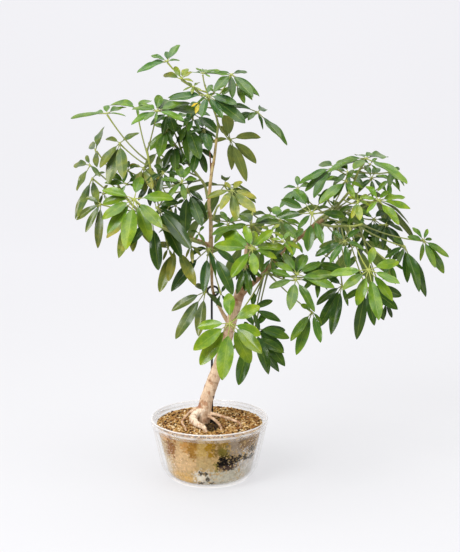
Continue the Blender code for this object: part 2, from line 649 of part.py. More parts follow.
def whole_leaf(name, spec, root, draw, home):
    """An umbrella leaf in one mesh: thin leaflets, flat above and with a rib below, a hub, and the stalk."""
    leaflets = leaflet_rows(spec, root, draw)
    count = len(leaflets)
    bm = bmesh.new()
    rim = []
    for i, (angle, rows) in enumerate(leaflets):
        before = (angle - leaflets[i - 1][0]) % math.tau
        after = (leaflets[(i + 1) % count][0] - angle) % math.tau
        half = min(RIM_SHARE * before, RIM_SHARE * after, STALK_HALF_WIDTH / HUB_RADIUS)
        last = [
            bm.verts.new((HUB_RADIUS * math.cos(a), HUB_RADIUS * math.sin(a), 0))
            for a in (angle + half, angle, angle - half)
        ]
        last[1].co.z = -RIB_DEPTH
        rim.append(last)
        for row in rows:
            new = [bm.verts.new(place) for place in row]
            if len(new) == 1:
                new *= 3
            for a, b in ((0, 2), (1, 0), (2, 1)):
                corners = [last[a], last[b], new[b], new[a]]
                bm.faces.new(sorted(set(corners), key=corners.index))
            last = new
    bm.faces.new([side for left, _, right in rim for side in (right, left)])
    under = [vert for left, rib, right in rim for vert in (right, rib, left)]
    under_edges = [bm.edges.get((under[i - 1], under[i])) for i in range(len(under))]
    facing = Vector(spec["facing"]).normalized()
    place = leaf_frame(facing).to_4x4()
    place.translation = Vector(spec["hub"])
    top_edges = petiole(bm, petiole_points(root, Vector(spec["hub"]), facing), place.inverted())
    bmesh.ops.bridge_loops(bm, edges=under_edges + top_edges)
    bmesh.ops.triangulate(bm, faces=bm.faces)
    bmesh.ops.recalc_face_normals(bm, faces=bm.faces)
    bmesh.ops.transform(bm, matrix=place, verts=bm.verts)
    return mesh_object(name, bm, home)


def leafy_shoot(name, home, green):
    """A green stem with its stalked leaves, all one grown body."""
    shoot = SHOOTS[name]
    draw = random.Random(f"{SEED} {name}")
    stem = shoot_stem(shoot)
    thick, thin = shoot["radii"]
    radii = [thick + (thin - thick) * i / (len(stem) - 1) for i in range(len(stem))]
    pieces = [tube(name, stem, radii, 1, home)]
    spacing = (LAST_LEAF - FIRST_LEAF) / max(len(shoot["leaves"]) - 1, 1)
    for i, spec in enumerate(reversed(shoot["leaves"])):
        root = along(stem, LAST_LEAF - spacing * i)[0]
        pieces.append(whole_leaf(f"{name}_leaf_{i}", spec, root, draw, home))
    made = fused(name, pieces, home)
    finish(made, green, 30)
    return made


def bowl(home):
    """The clear bowl: outside from the lip down to the base, then inside from the floor up to the lip."""
    centre = (BOWL_BASE_RADIUS, BOWL_CORNER)
    band_foot = BOWL_HEIGHT - BAND_HEIGHT
    outer = [(BOWL_RIM_RADIUS, BOWL_HEIGHT - LIP_ROUND), (BOWL_RIM_RADIUS - BAND_STEP, band_foot)]
    outer += arc(centre, BOWL_CORNER, 0, -90, BOWL_CORNER_STEPS)
    inner = arc(centre, BOWL_CORNER - BOWL_WALL, -90, 0, BOWL_CORNER_STEPS)
    outer[2] = (outer[2][0] + BOWL_CORNER_SPREAD, outer[2][1])
    inner[-1] = (inner[-1][0] + BOWL_CORNER_SPREAD, inner[-1][1])
    inner += [
        (BOWL_RIM_RADIUS - BAND_STEP - BOWL_WALL, band_foot),
        (BOWL_RIM_RADIUS - BOWL_WALL, BOWL_HEIGHT - LIP_ROUND),
        (BOWL_RIM_RADIUS - BOWL_WALL / 2, BOWL_HEIGHT),
    ]
    profile = outer + [(0.0, 0.0), (0.0, BOWL_WALL)] + inner
    made = turned("glass_bowl", profile + [profile[0]], home)
    finish(made, material("clear_glass", (0.93, 0.96, 0.97), 0.03, 1.0))
    return made


def liner_radius(height):
    """The liner's outer radius on its straight flared side."""
    low = LINER_BASE_RADIUS + LINER_CORNER
    share = (height - BOWL_WALL - LINER_CORNER) / (LINER_TOP - BOWL_WALL - LINER_CORNER)
    return low + (LINER_TOP_RADIUS - low) * share


def liner(home):
    floor = BOWL_WALL + GAP
    centre = (LINER_BASE_RADIUS, floor + LINER_CORNER)
    outer_corner = arc(centre, LINER_CORNER, 0, -90, LINER_CORNER_STEPS)
    inner_corner = arc(centre, LINER_CORNER - LINER_WALL, -90, 0, LINER_CORNER_STEPS)
    profile = [(LINER_TOP_RADIUS, LINER_TOP)] + outer_corner + [(0.0, floor), (0.0, floor + LINER_WALL)]
    profile += inner_corner + [(LINER_TOP_RADIUS - LINER_WALL, LINER_TOP)]
    made = turned("clear_liner", profile + [profile[0]], home)
    finish(made, material("clear_plastic", (0.95, 0.96, 0.96), 0.08, 0.9))
    return made


def plain_hole(name, points, radius, roundness, home):
    """A cutter a little wider than the piece that stands along points, and a gap deeper than its foot."""
    below = points[0] - (points[1] - points[0]).normalized() * HOLE_DEPTH
    return tube(name, [below] + points, [radius + HOLE_ROOM] * (len(points) + 1), roundness, home)


def gravel(home):
    """The gravel body, with a slightly uneven top and plain holes for the trunk, the roots and the stake."""
    floor = BOWL_WALL + GAP + LINER_WALL + GAP
    corner_radius = LINER_CORNER - LINER_WALL - GAP
    corner = arc((LINER_BASE_RADIUS, floor + corner_radius), corner_radius, 0, -90, LINER_CORNER_STEPS)
    edge = liner_radius(GRAVEL_TOP) - LINER_WALL - 2 * GAP
    rings = [(edge * i / GRAVEL_RINGS, GRAVEL_TOP) for i in range(GRAVEL_RINGS)]
    rings.append((edge, GRAVEL_TOP - GRAVEL_EDGE_DROP))
    made = turned("gravel", rings + corner + [(0.0, floor)], home)
    draw = random.Random(SEED)
    bm = bmesh.new()
    bm.from_mesh(made.data)
    for vert in bm.verts:
        if vert.co.z > (GRAVEL_TOP - GRAVEL_EDGE_DROP / 2) * MM:
            vert.co.z += draw.uniform(-GRAVEL_RELIEF, GRAVEL_RELIEF) * MM
    bmesh.ops.triangulate(bm, faces=bm.faces)
    bm.to_mesh(made.data)
    bm.free()
    points, radii = WOOD["trunk"]
    holes = [plain_hole("trunk_hole", [Vector(point) for point in points[:3]], max(radii[:3]), 3, home)]
    for name, (points, radii) in ROOTS.items():
        low, high = Vector(points[-1]), Vector(points[-2])
        above = high + (high - low) * HOLE_RISE
        holes.append(plain_hole(name + "_hole", [low, high, above], radii[-2], 1, home))
    stake_foot = Vector((*STAKE_PLACE, STAKE_FOOT))
    above = Vector((*STAKE_PLACE, GRAVEL_TOP + EYE_NECK))
    holes.append(plain_hole("stake_hole", [stake_foot, above], STAKE_RADIUS, 2, home))
    made = cut(made, holes, home)
    finish(made, material("brown_gravel", (0.36, 0.26, 0.15), 0.85), 60)
    return made


def wood(home):
    """Trunk, branches, leader and surface roots, grown as one piece."""
    pieces = []
    for name, (points, radii) in {**WOOD, **ROOTS}.items():
        roundness = 4 if name == "trunk" else 1
        pieces.append(tube(name, points, radii, roundness, home))
    made = fused("trunk_and_roots", pieces, home)
    finish(made, material("bark", (0.66, 0.53, 0.38), 0.8), 50)
    return made


def stake(home):
    """The wire stake: straight up from the gravel, then round in a closed eye."""
    tilt = Matrix.Rotation(math.radians(EYE_TILT), 3, "X")
    angles = [math.radians(-90 + EYE_TURN * i / EYE_POINTS) for i in range(EYE_POINTS + 1)]
    eye = [Vector(EYE_CENTRE) + tilt @ Vector((math.cos(a), math.sin(a), 0)) * EYE_RADIUS for a in angles]
    points = [Vector((*STAKE_PLACE, STAKE_FOOT)), Vector((*STAKE_PLACE, eye[0].z - EYE_NECK))] + eye
    made = tube("wire_stake", points, [STAKE_RADIUS] * len(points), 1, home)
    finish(made, material("black_coating", (0.02, 0.02, 0.02), 0.45), 50)
    return made


def main():
    clear_scene()
    home = collection("umbrella_tree")
    bowl(home)
    liner(home)
    gravel(home)
    wood(home)
    stake(home)
    green = material("leaf_green", (0.12, 0.25, 0.05), 0.4)
    for name in SHOOTS:
        leafy_shoot(name, home, green)


main()
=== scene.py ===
"""Looks of a potted compacta dwarf umbrella tree: leaves, bark, stained gravel and a clear glass bowl.

Metres, +Z up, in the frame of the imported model. Sizes and places of the plant and pot are written in
millimetres, and MM scales them when a piece is finished.
"""

import math
import random

import bmesh
import bpy
import numpy as np
from mathutils import Matrix, Vector, kdtree, noise


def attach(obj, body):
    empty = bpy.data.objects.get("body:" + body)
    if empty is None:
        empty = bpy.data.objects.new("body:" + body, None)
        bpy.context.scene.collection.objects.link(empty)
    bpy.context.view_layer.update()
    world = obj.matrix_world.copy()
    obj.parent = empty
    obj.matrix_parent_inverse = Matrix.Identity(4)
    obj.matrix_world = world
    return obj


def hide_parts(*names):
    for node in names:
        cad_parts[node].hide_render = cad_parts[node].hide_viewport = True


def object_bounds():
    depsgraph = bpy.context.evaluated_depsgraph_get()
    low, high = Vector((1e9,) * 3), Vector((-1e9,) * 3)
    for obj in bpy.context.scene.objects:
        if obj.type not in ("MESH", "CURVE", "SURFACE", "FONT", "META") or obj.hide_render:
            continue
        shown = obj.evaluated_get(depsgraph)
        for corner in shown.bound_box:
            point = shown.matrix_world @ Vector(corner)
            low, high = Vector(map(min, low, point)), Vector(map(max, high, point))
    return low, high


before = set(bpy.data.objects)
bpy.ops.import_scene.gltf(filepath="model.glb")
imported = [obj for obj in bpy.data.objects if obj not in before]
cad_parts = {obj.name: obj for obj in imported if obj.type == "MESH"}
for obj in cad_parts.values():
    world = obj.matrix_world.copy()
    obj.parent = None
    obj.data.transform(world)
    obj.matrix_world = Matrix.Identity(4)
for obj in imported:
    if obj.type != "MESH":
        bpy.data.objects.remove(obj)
SOLID_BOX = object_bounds()

MM = 0.001
SEED = 41

# The camera looks down on the plant a little, as the photograph does.
CAMERA_PLACE = (0.035, -1.885, 0.716)
CAMERA_PITCH = 11.0
CAMERA_LENS = 75.0
CAMERA_SENSOR = 36.0

# The paper, in metres: it runs level to its bend behind the plant, then rises.
PAPER_FRONT = -4.0
PAPER_WIDTH = 9.0
PAPER_TOP = 3.6
SWEEP_START = 2.2
SWEEP_BEND = 0.9

# Soft lights: place and size in metres, and power. All look at the middle of the plant.
LAMPS = {
    "left_softbox": ((-1.2, -1.5, 1.9), 1.2, 58.0),
    "right_softbox": ((1.7, -1.0, 1.3), 1.4, 10.0),
    "top_softbox": ((0.1, 0.0, 2.3), 1.8, 38.0),
}
LAMPS_LOOK_AT = Vector((0, 0, 0.4))
AIR_COLOUR = (1.0, 0.99, 0.97, 1.0)
AIR_STRENGTH = 0.34

# Bowl, liner and fill, as in the solids. The upper points of the bowl's round corner spread by shares of
# BOWL_CORNER_SPREAD. The band below the lip tapers above and below its slope, which is given by heights.
BOWL_RIM_RADIUS = 100.0
BOWL_HEIGHT = 105.0
BOWL_BASE_RADIUS = 58.0
BOWL_CORNER = 22.0
BOWL_CORNER_SPREAD = 3.5
CORNER_SHARES = (1.0, 0.55, 0.2)
BOWL_WALL = 3.0
BAND_HEIGHT = 14.0
BAND_STEP = 2.0
BAND_TAPER = 0.3
BAND_SLOPE = (4.0, 1.2)
LINER_TOP = 99.0
LINER_TOP_RADIUS = 93.0
LINER_BASE_RADIUS = 57.5
LINER_CORNER = 17.0
LINER_WALL = 1.2
GRAVEL_TOP = 96.5
GAP = 0.35
TURNED_STEPS = 112
FILL_SIDE_STEPS = 30
FILL_TOP_STEPS = 20
FILL_DEPTH = 2.0

# Loose grains: the bed's number, reach, sizes, depth and unevenness, and the side's number, sizes, margins at
# the foot and the top, and how far each sinks in. The spiral's turn spreads the bed's grains evenly.
BED_GRAINS = 3000
BED_RADIUS = 89.5
BED_LOW_EDGE = 86.0
BED_GRAIN_SIZES = (1.3, 2.9)
BED_DEPTH = 1.9
BED_UNEVEN = (-0.9, 1.1)
BED_SWELL = 0.6
BED_SWELL_SCALE = 0.05
BED_EDGE_DROP = 0.8
SIDE_GRAINS = 2200
SIDE_GRAIN_SIZES = (1.0, 2.0)
SIDE_MARGINS = (2.0, 4.0)
SIDE_SINK = 0.93
SPIRAL_TURN = 2.39996
GRAIN_SHAPES = 9
GRAIN_TILT = 0.6
GRAIN_TINTS = (
    (0.52, 0.30, 0.095), (0.30, 0.13, 0.04), (0.70, 0.48, 0.20), (0.11, 0.048, 0.016), (0.40, 0.20, 0.055),
    (0.90, 0.72, 0.44), (0.045, 0.020, 0.009), (0.56, 0.35, 0.13), (0.21, 0.095, 0.03), (0.46, 0.27, 0.08),
)

# The coated stake and its eye.
STAKE_RADIUS = 1.9
STAKE_PLACE = (4.0, 22.0)
STAKE_FOOT = 40.0
EYE_CENTRE = (6.0, 28.0, 318.0)
EYE_RADIUS = 9.5
EYE_TILT = 48.0
EYE_TURN = 348.0
EYE_STEPS = 40
EYE_NECK = 6.0

# Leaflets: where the bare stalk ends, half the width, and the lift are shares of the reach from the hub to
# the tip. Beyond LONG_REACH they get narrower, and under SMALL_REACH their stalks are alike.
STALK_ENDS = (0.13, 0.24)
HALF_WIDTH = 0.166
LONG_REACH = 66.0
SMALL_REACH = 40.0
SMALL_STALK_END = 0.16
LIFT = 0.15
SIDE_DIFFERENCE = 0.22

# How steeply from above the tips are seen, in degrees, and the rounds that find their place in depth.
SEEN_FROM_ABOVE = 11.0
TIP_ROUNDS = 3

# The blade's outline rises and closes by powers of the share of its length, and its rows crowd at the tip.
# Each blade draws its own fold, twist, wave and curl.
ACROSS_STEPS = 8
ALONG_STEPS = 14
BASE_POWER = 0.78
TIP_POWERS = (0.66, 0.80)
OUTLINE_PEAK = 0.42
ROW_CROWDING = 1.6
BLADE_THICKNESS = 0.5
FOLD = 0.20
FOLD_CHANGES = (-0.10, 0.12)
TWISTS = (-0.25, 0.25)
WAVES = (0.010, 0.045)
WAVE_RATE = 7.0
WAVE_SIDES = 1.6
CURLS = (-0.02, 0.05)

# Stalks: radii along a leaf's stalk, its bend, a leaflet stalk's shares of its bare length with their radii,
# and the shares of a stem between which its leaves grow.
STALK_RADII = (1.9, 1.45, 1.25, 1.15, 1.1, 1.1, 1.15, 1.25, 1.6)
STALK_TURN = 0.55
STALK_BEND = 0.22
LEAFLET_STALK_SHARES = (0.0, 0.35, 0.7, 1.1)
LEAFLET_STALK_RADII = (1.5, 0.95, 0.85, 0.7)
LEAFLET_STALK_DEPTH = 0.35
HUB_DEPTH = 2.6
STEM_START = 3.0
FIRST_LEAF = 0.30
LAST_LEAF = 0.98
EXTRA_SPACING = 0.12

# Leaf colours, linear: the upper side of a grown leaf unless the word says otherwise.
TINTS = {
    "bright": (0.120, 0.226, 0.012),
    "fresh": (0.105, 0.208, 0.013),
    "mid": (0.076, 0.164, 0.016),
    "dark": (0.041, 0.102, 0.011),
    "deep": (0.021, 0.058, 0.005),
    "blue": (0.040, 0.105, 0.022),
    "moss": (0.092, 0.138, 0.038),
    "olive": (0.150, 0.188, 0.034),
    "young": (0.150, 0.205, 0.030),
    "yellow": (0.520, 0.420, 0.020),
}
FRESH_TINTS = ("bright", "fresh", "young")
STALK_TINT = Vector((0.300, 0.340, 0.050))
OLD_STALK_TINT = Vector((0.170, 0.190, 0.060))

# Woody paths, as in the solids: points, and the radius at each.
WOOD = {
    "trunk": (
        [(-14, 0, 62), (-12, 0, 90), (-9, 0, 112), (-5, 2, 134), (6, 4, 167), (15, 6, 190), (27, 8, 230),
         (38, 8, 272), (51, 8, 318), (60, 8, 360), (64, 8, 396), (68, 8, 420)],
        (11.5, 12.0, 12.2, 11.4, 10.6, 10.2, 9.6, 9.0, 8.6, 5.6, 4.6, 4.0),
    ),
    "right_branch": (
        [(48, 8, 308), (62, 4, 326), (90, 2, 352), (110, 4, 376), (128, 8, 395), (152, 10, 414),
         (173, 10, 432), (190, 8, 443)],
        (6.0, 5.0, 3.9, 3.7, 3.6, 3.6, 3.6, 3.4),
    ),
    "leader": (
        [(36, 8, 262), (20, 22, 286), (6, 28, 318), (4, 22, 360), (3, 14, 395), (3, 12, 442), (0, 10, 470),
         (4, 10, 516), (9, 12, 544), (13, 12, 578)],
        (4.6, 3.0, 2.6, 2.6, 3.8, 3.2, 3.0, 2.8, 2.5, 2.3),
    ),
    "left_branch": ([(3, 14, 398), (-12, 8, 405), (-27, 4, 411), (-38, 0, 413)], (4.0, 3.8, 3.8, 3.4)),
    "dead_twig": ([(4, 10, 516), (3, 14, 532), (1, 15, 570)], (1.7, 1.4, 1.2)),
}
ROOTS = {
    "thick_root": (
        [(-10, 0, 116), (-22, -8, 113), (-27, -22, 107), (-20, -36, 103), (-8, -50, 101), (-4, -55, 88)],
        (6.2, 7.2, 6.8, 5.4, 3.8, 2.8),
    ),
    "left_root": (
        [(-10, 1, 121), (-26, -3, 119), (-41, -12, 108), (-46, -26, 103), (-40, -45, 100), (-38, -50, 88)],
        (3.0, 2.6, 2.2, 2.0, 1.8, 1.6),
    ),
    "right_root": (
        [(-8, 0, 112), (14, -8, 110), (38, -18, 105), (52, -28, 101), (54, -31, 88)],
        (3.6, 2.8, 2.2, 1.9, 1.7),
    ),
    "front_root": (
        [(-9, -2, 108), (4, -14, 107), (14, -30, 104), (20, -44, 100), (21, -47, 88)],
        (3.4, 2.8, 2.4, 2.0, 1.8),
    ),
    "back_root": ([(-9, 2, 110), (-14, 18, 108), (-22, 38, 102), (-24, 42, 88)], (4.0, 3.2, 2.4, 2.0)),
}
BARK_VOXEL = 1.1

# Relief of the bark: how fine its knots and lines are across and up, the rings' rate along a path, how
# narrow they are, and depths as shares of the radius.
KNOT_SCALES = (0.13, 0.09)
LINE_SCALES = (0.6, 0.11)
RING_RATE = 0.53
RING_WANDER = 1.5
RING_EDGE = 0.86
KNOT_DEPTH = 0.05
LINE_DEPTH = 0.035
RING_DEPTH = 0.16

# Bark colours, linear, for the wood's paths at their foot and at their end.
WOOD_TINTS = {
    "trunk": ((0.88, 0.68, 0.48), (0.62, 0.42, 0.27)),
    "right_branch": ((0.44, 0.27, 0.15), (0.30, 0.20, 0.09)),
    "leader": ((0.66, 0.47, 0.27), (0.46, 0.37, 0.15)),
    "left_branch": ((0.64, 0.46, 0.29), (0.56, 0.36, 0.20)),
    "dead_twig": ((0.22, 0.10, 0.05), (0.20, 0.09, 0.05)),
    "thick_root": ((0.98, 0.84, 0.68), (0.86, 0.68, 0.48)),
    "root": ((0.80, 0.60, 0.42), (0.66, 0.45, 0.28)),
}

# Scars of the trunk: where they lie across and up and their half size, in mm, and their colour (linear).
SCARS = (
    ((-19, 126), 5.0, (0.40, 0.15, 0.07)),
    ((17, 158), 4.0, (0.06, 0.035, 0.025)),
    ((8, 139), 3.0, (0.10, 0.055, 0.035)),
)

# Stains of the fill: centre and half size across and up in mm, colour (linear), and strength.
FILL_TINT = (0.62, 0.42, 0.18)
STAINS = (
    ((-45, 46), (27, 40), (0.90, 0.60, 0.31), 0.9),
    ((-70, 86), (13, 12), (0.94, 0.50, 0.17), 0.85),
    ((-65, 69), (9, 20), (0.36, 0.13, 0.012), 0.95),
    ((-72, 28), (12, 18), (1.00, 0.86, 0.66), 0.8),
    ((-38, 80), (8, 14), (0.74, 0.36, 0.08), 0.85),
    ((-26, 76), (9, 21), (0.46, 0.22, 0.03), 0.95),
    ((-11, 74), (9, 18), (0.70, 0.46, 0.13), 0.85),
    ((-40, 16), (22, 11), (0.90, 0.54, 0.16), 0.9),
    ((-4, 46), (14, 13), (0.66, 0.48, 0.22), 0.85),
    ((-8, 20), (18, 15), (1.00, 0.92, 0.76), 0.95),
    ((5, 80), (10, 21), (0.50, 0.27, 0.008), 0.95),
    ((18, 74), (9, 21), (0.30, 0.18, 0.035), 0.95),
    ((29, 84), (8, 11), (0.50, 0.29, 0.05), 0.9),
    ((28, 66), (12, 14), (0.24, 0.19, 0.022), 0.95),
    ((46, 72), (14, 24), (0.46, 0.37, 0.28), 0.95),
    ((68, 78), (18, 19), (0.34, 0.21, 0.10), 0.95),
    ((66, 30), (31, 33), (0.84, 0.79, 0.72), 1.0),
    ((28, 18), (32, 19), (0.74, 0.69, 0.54), 1.0),
    ((13, 44), (6, 13), (0.38, 0.30, 0.06), 0.85),
    ((26, 50), (16, 13), (0.005, 0.002, 0.001), 1.0),
    ((44, 52), (13, 9), (0.008, 0.005, 0.004), 0.95),
    ((30, 38), (18, 5), (0.08, 0.045, 0.035), 0.95),
    ((60, 52), (6, 6), (0.05, 0.03, 0.006), 0.95),
    ((70, 47), (4, 6), (0.02, 0.012, 0.003), 0.95),
    ((73, 62), (5, 8), (0.07, 0.045, 0.008), 0.9),
    ((-9, 29), (8, 4), (0.05, 0.035, 0.02), 0.95),
    ((-2, 19), (5, 4), (0.07, 0.05, 0.03), 0.9),
    ((-14, 11), (5, 3), (0.07, 0.05, 0.03), 0.9),
    ((4, 11), (6, 3), (0.09, 0.07, 0.04), 0.9),
)


def leaf(tint, hub, facing, reach, droop, fan):
    """One umbrella leaf by rule: its colour, its hub, the way its upper side faces, the mean length of its
    leaflets, how far they bend down, and how many they are, evenly round the hub."""
    fan = tuple(round(15 + 360 * i / fan) for i in range(fan))
    return {"tint": tint, "hub": hub, "facing": facing, "reach": reach, "droop": droop, "fan": fan}


def seen(tint, hub, facing, sag, *tips, **shape):
    """One umbrella leaf at the front of the tree: its colour, its hub, the way its upper side faces, how far
    its leaflets sag, and where their tips lie, across and up as seen from in front and a little above. The
    shape may say how wide its blades are, and what share of each leaflet is bare stalk."""
    return {"tint": tint, "hub": hub, "facing": facing, "sag": sag, "tips": tips, **shape}


def extra(*given):
    """A small leaf between the others, for the crown's dense places, where the solids have none."""
    return seen(*given, extra=True)


def shoot(start, radii, stem, *leaves, wide=1.0):
    """A leafy shoot: the wood that it grows from and where along it, the radii and points of its stem, its
    leaves from the lowest up, and how wide their blades are."""
    own = [spec for spec in leaves if "extra" not in spec]
    extras = [spec for spec in leaves if "extra" in spec]
    return {"from": start, "radii": radii, "stem": stem, "leaves": own, "extras": extras, "wide": wide}


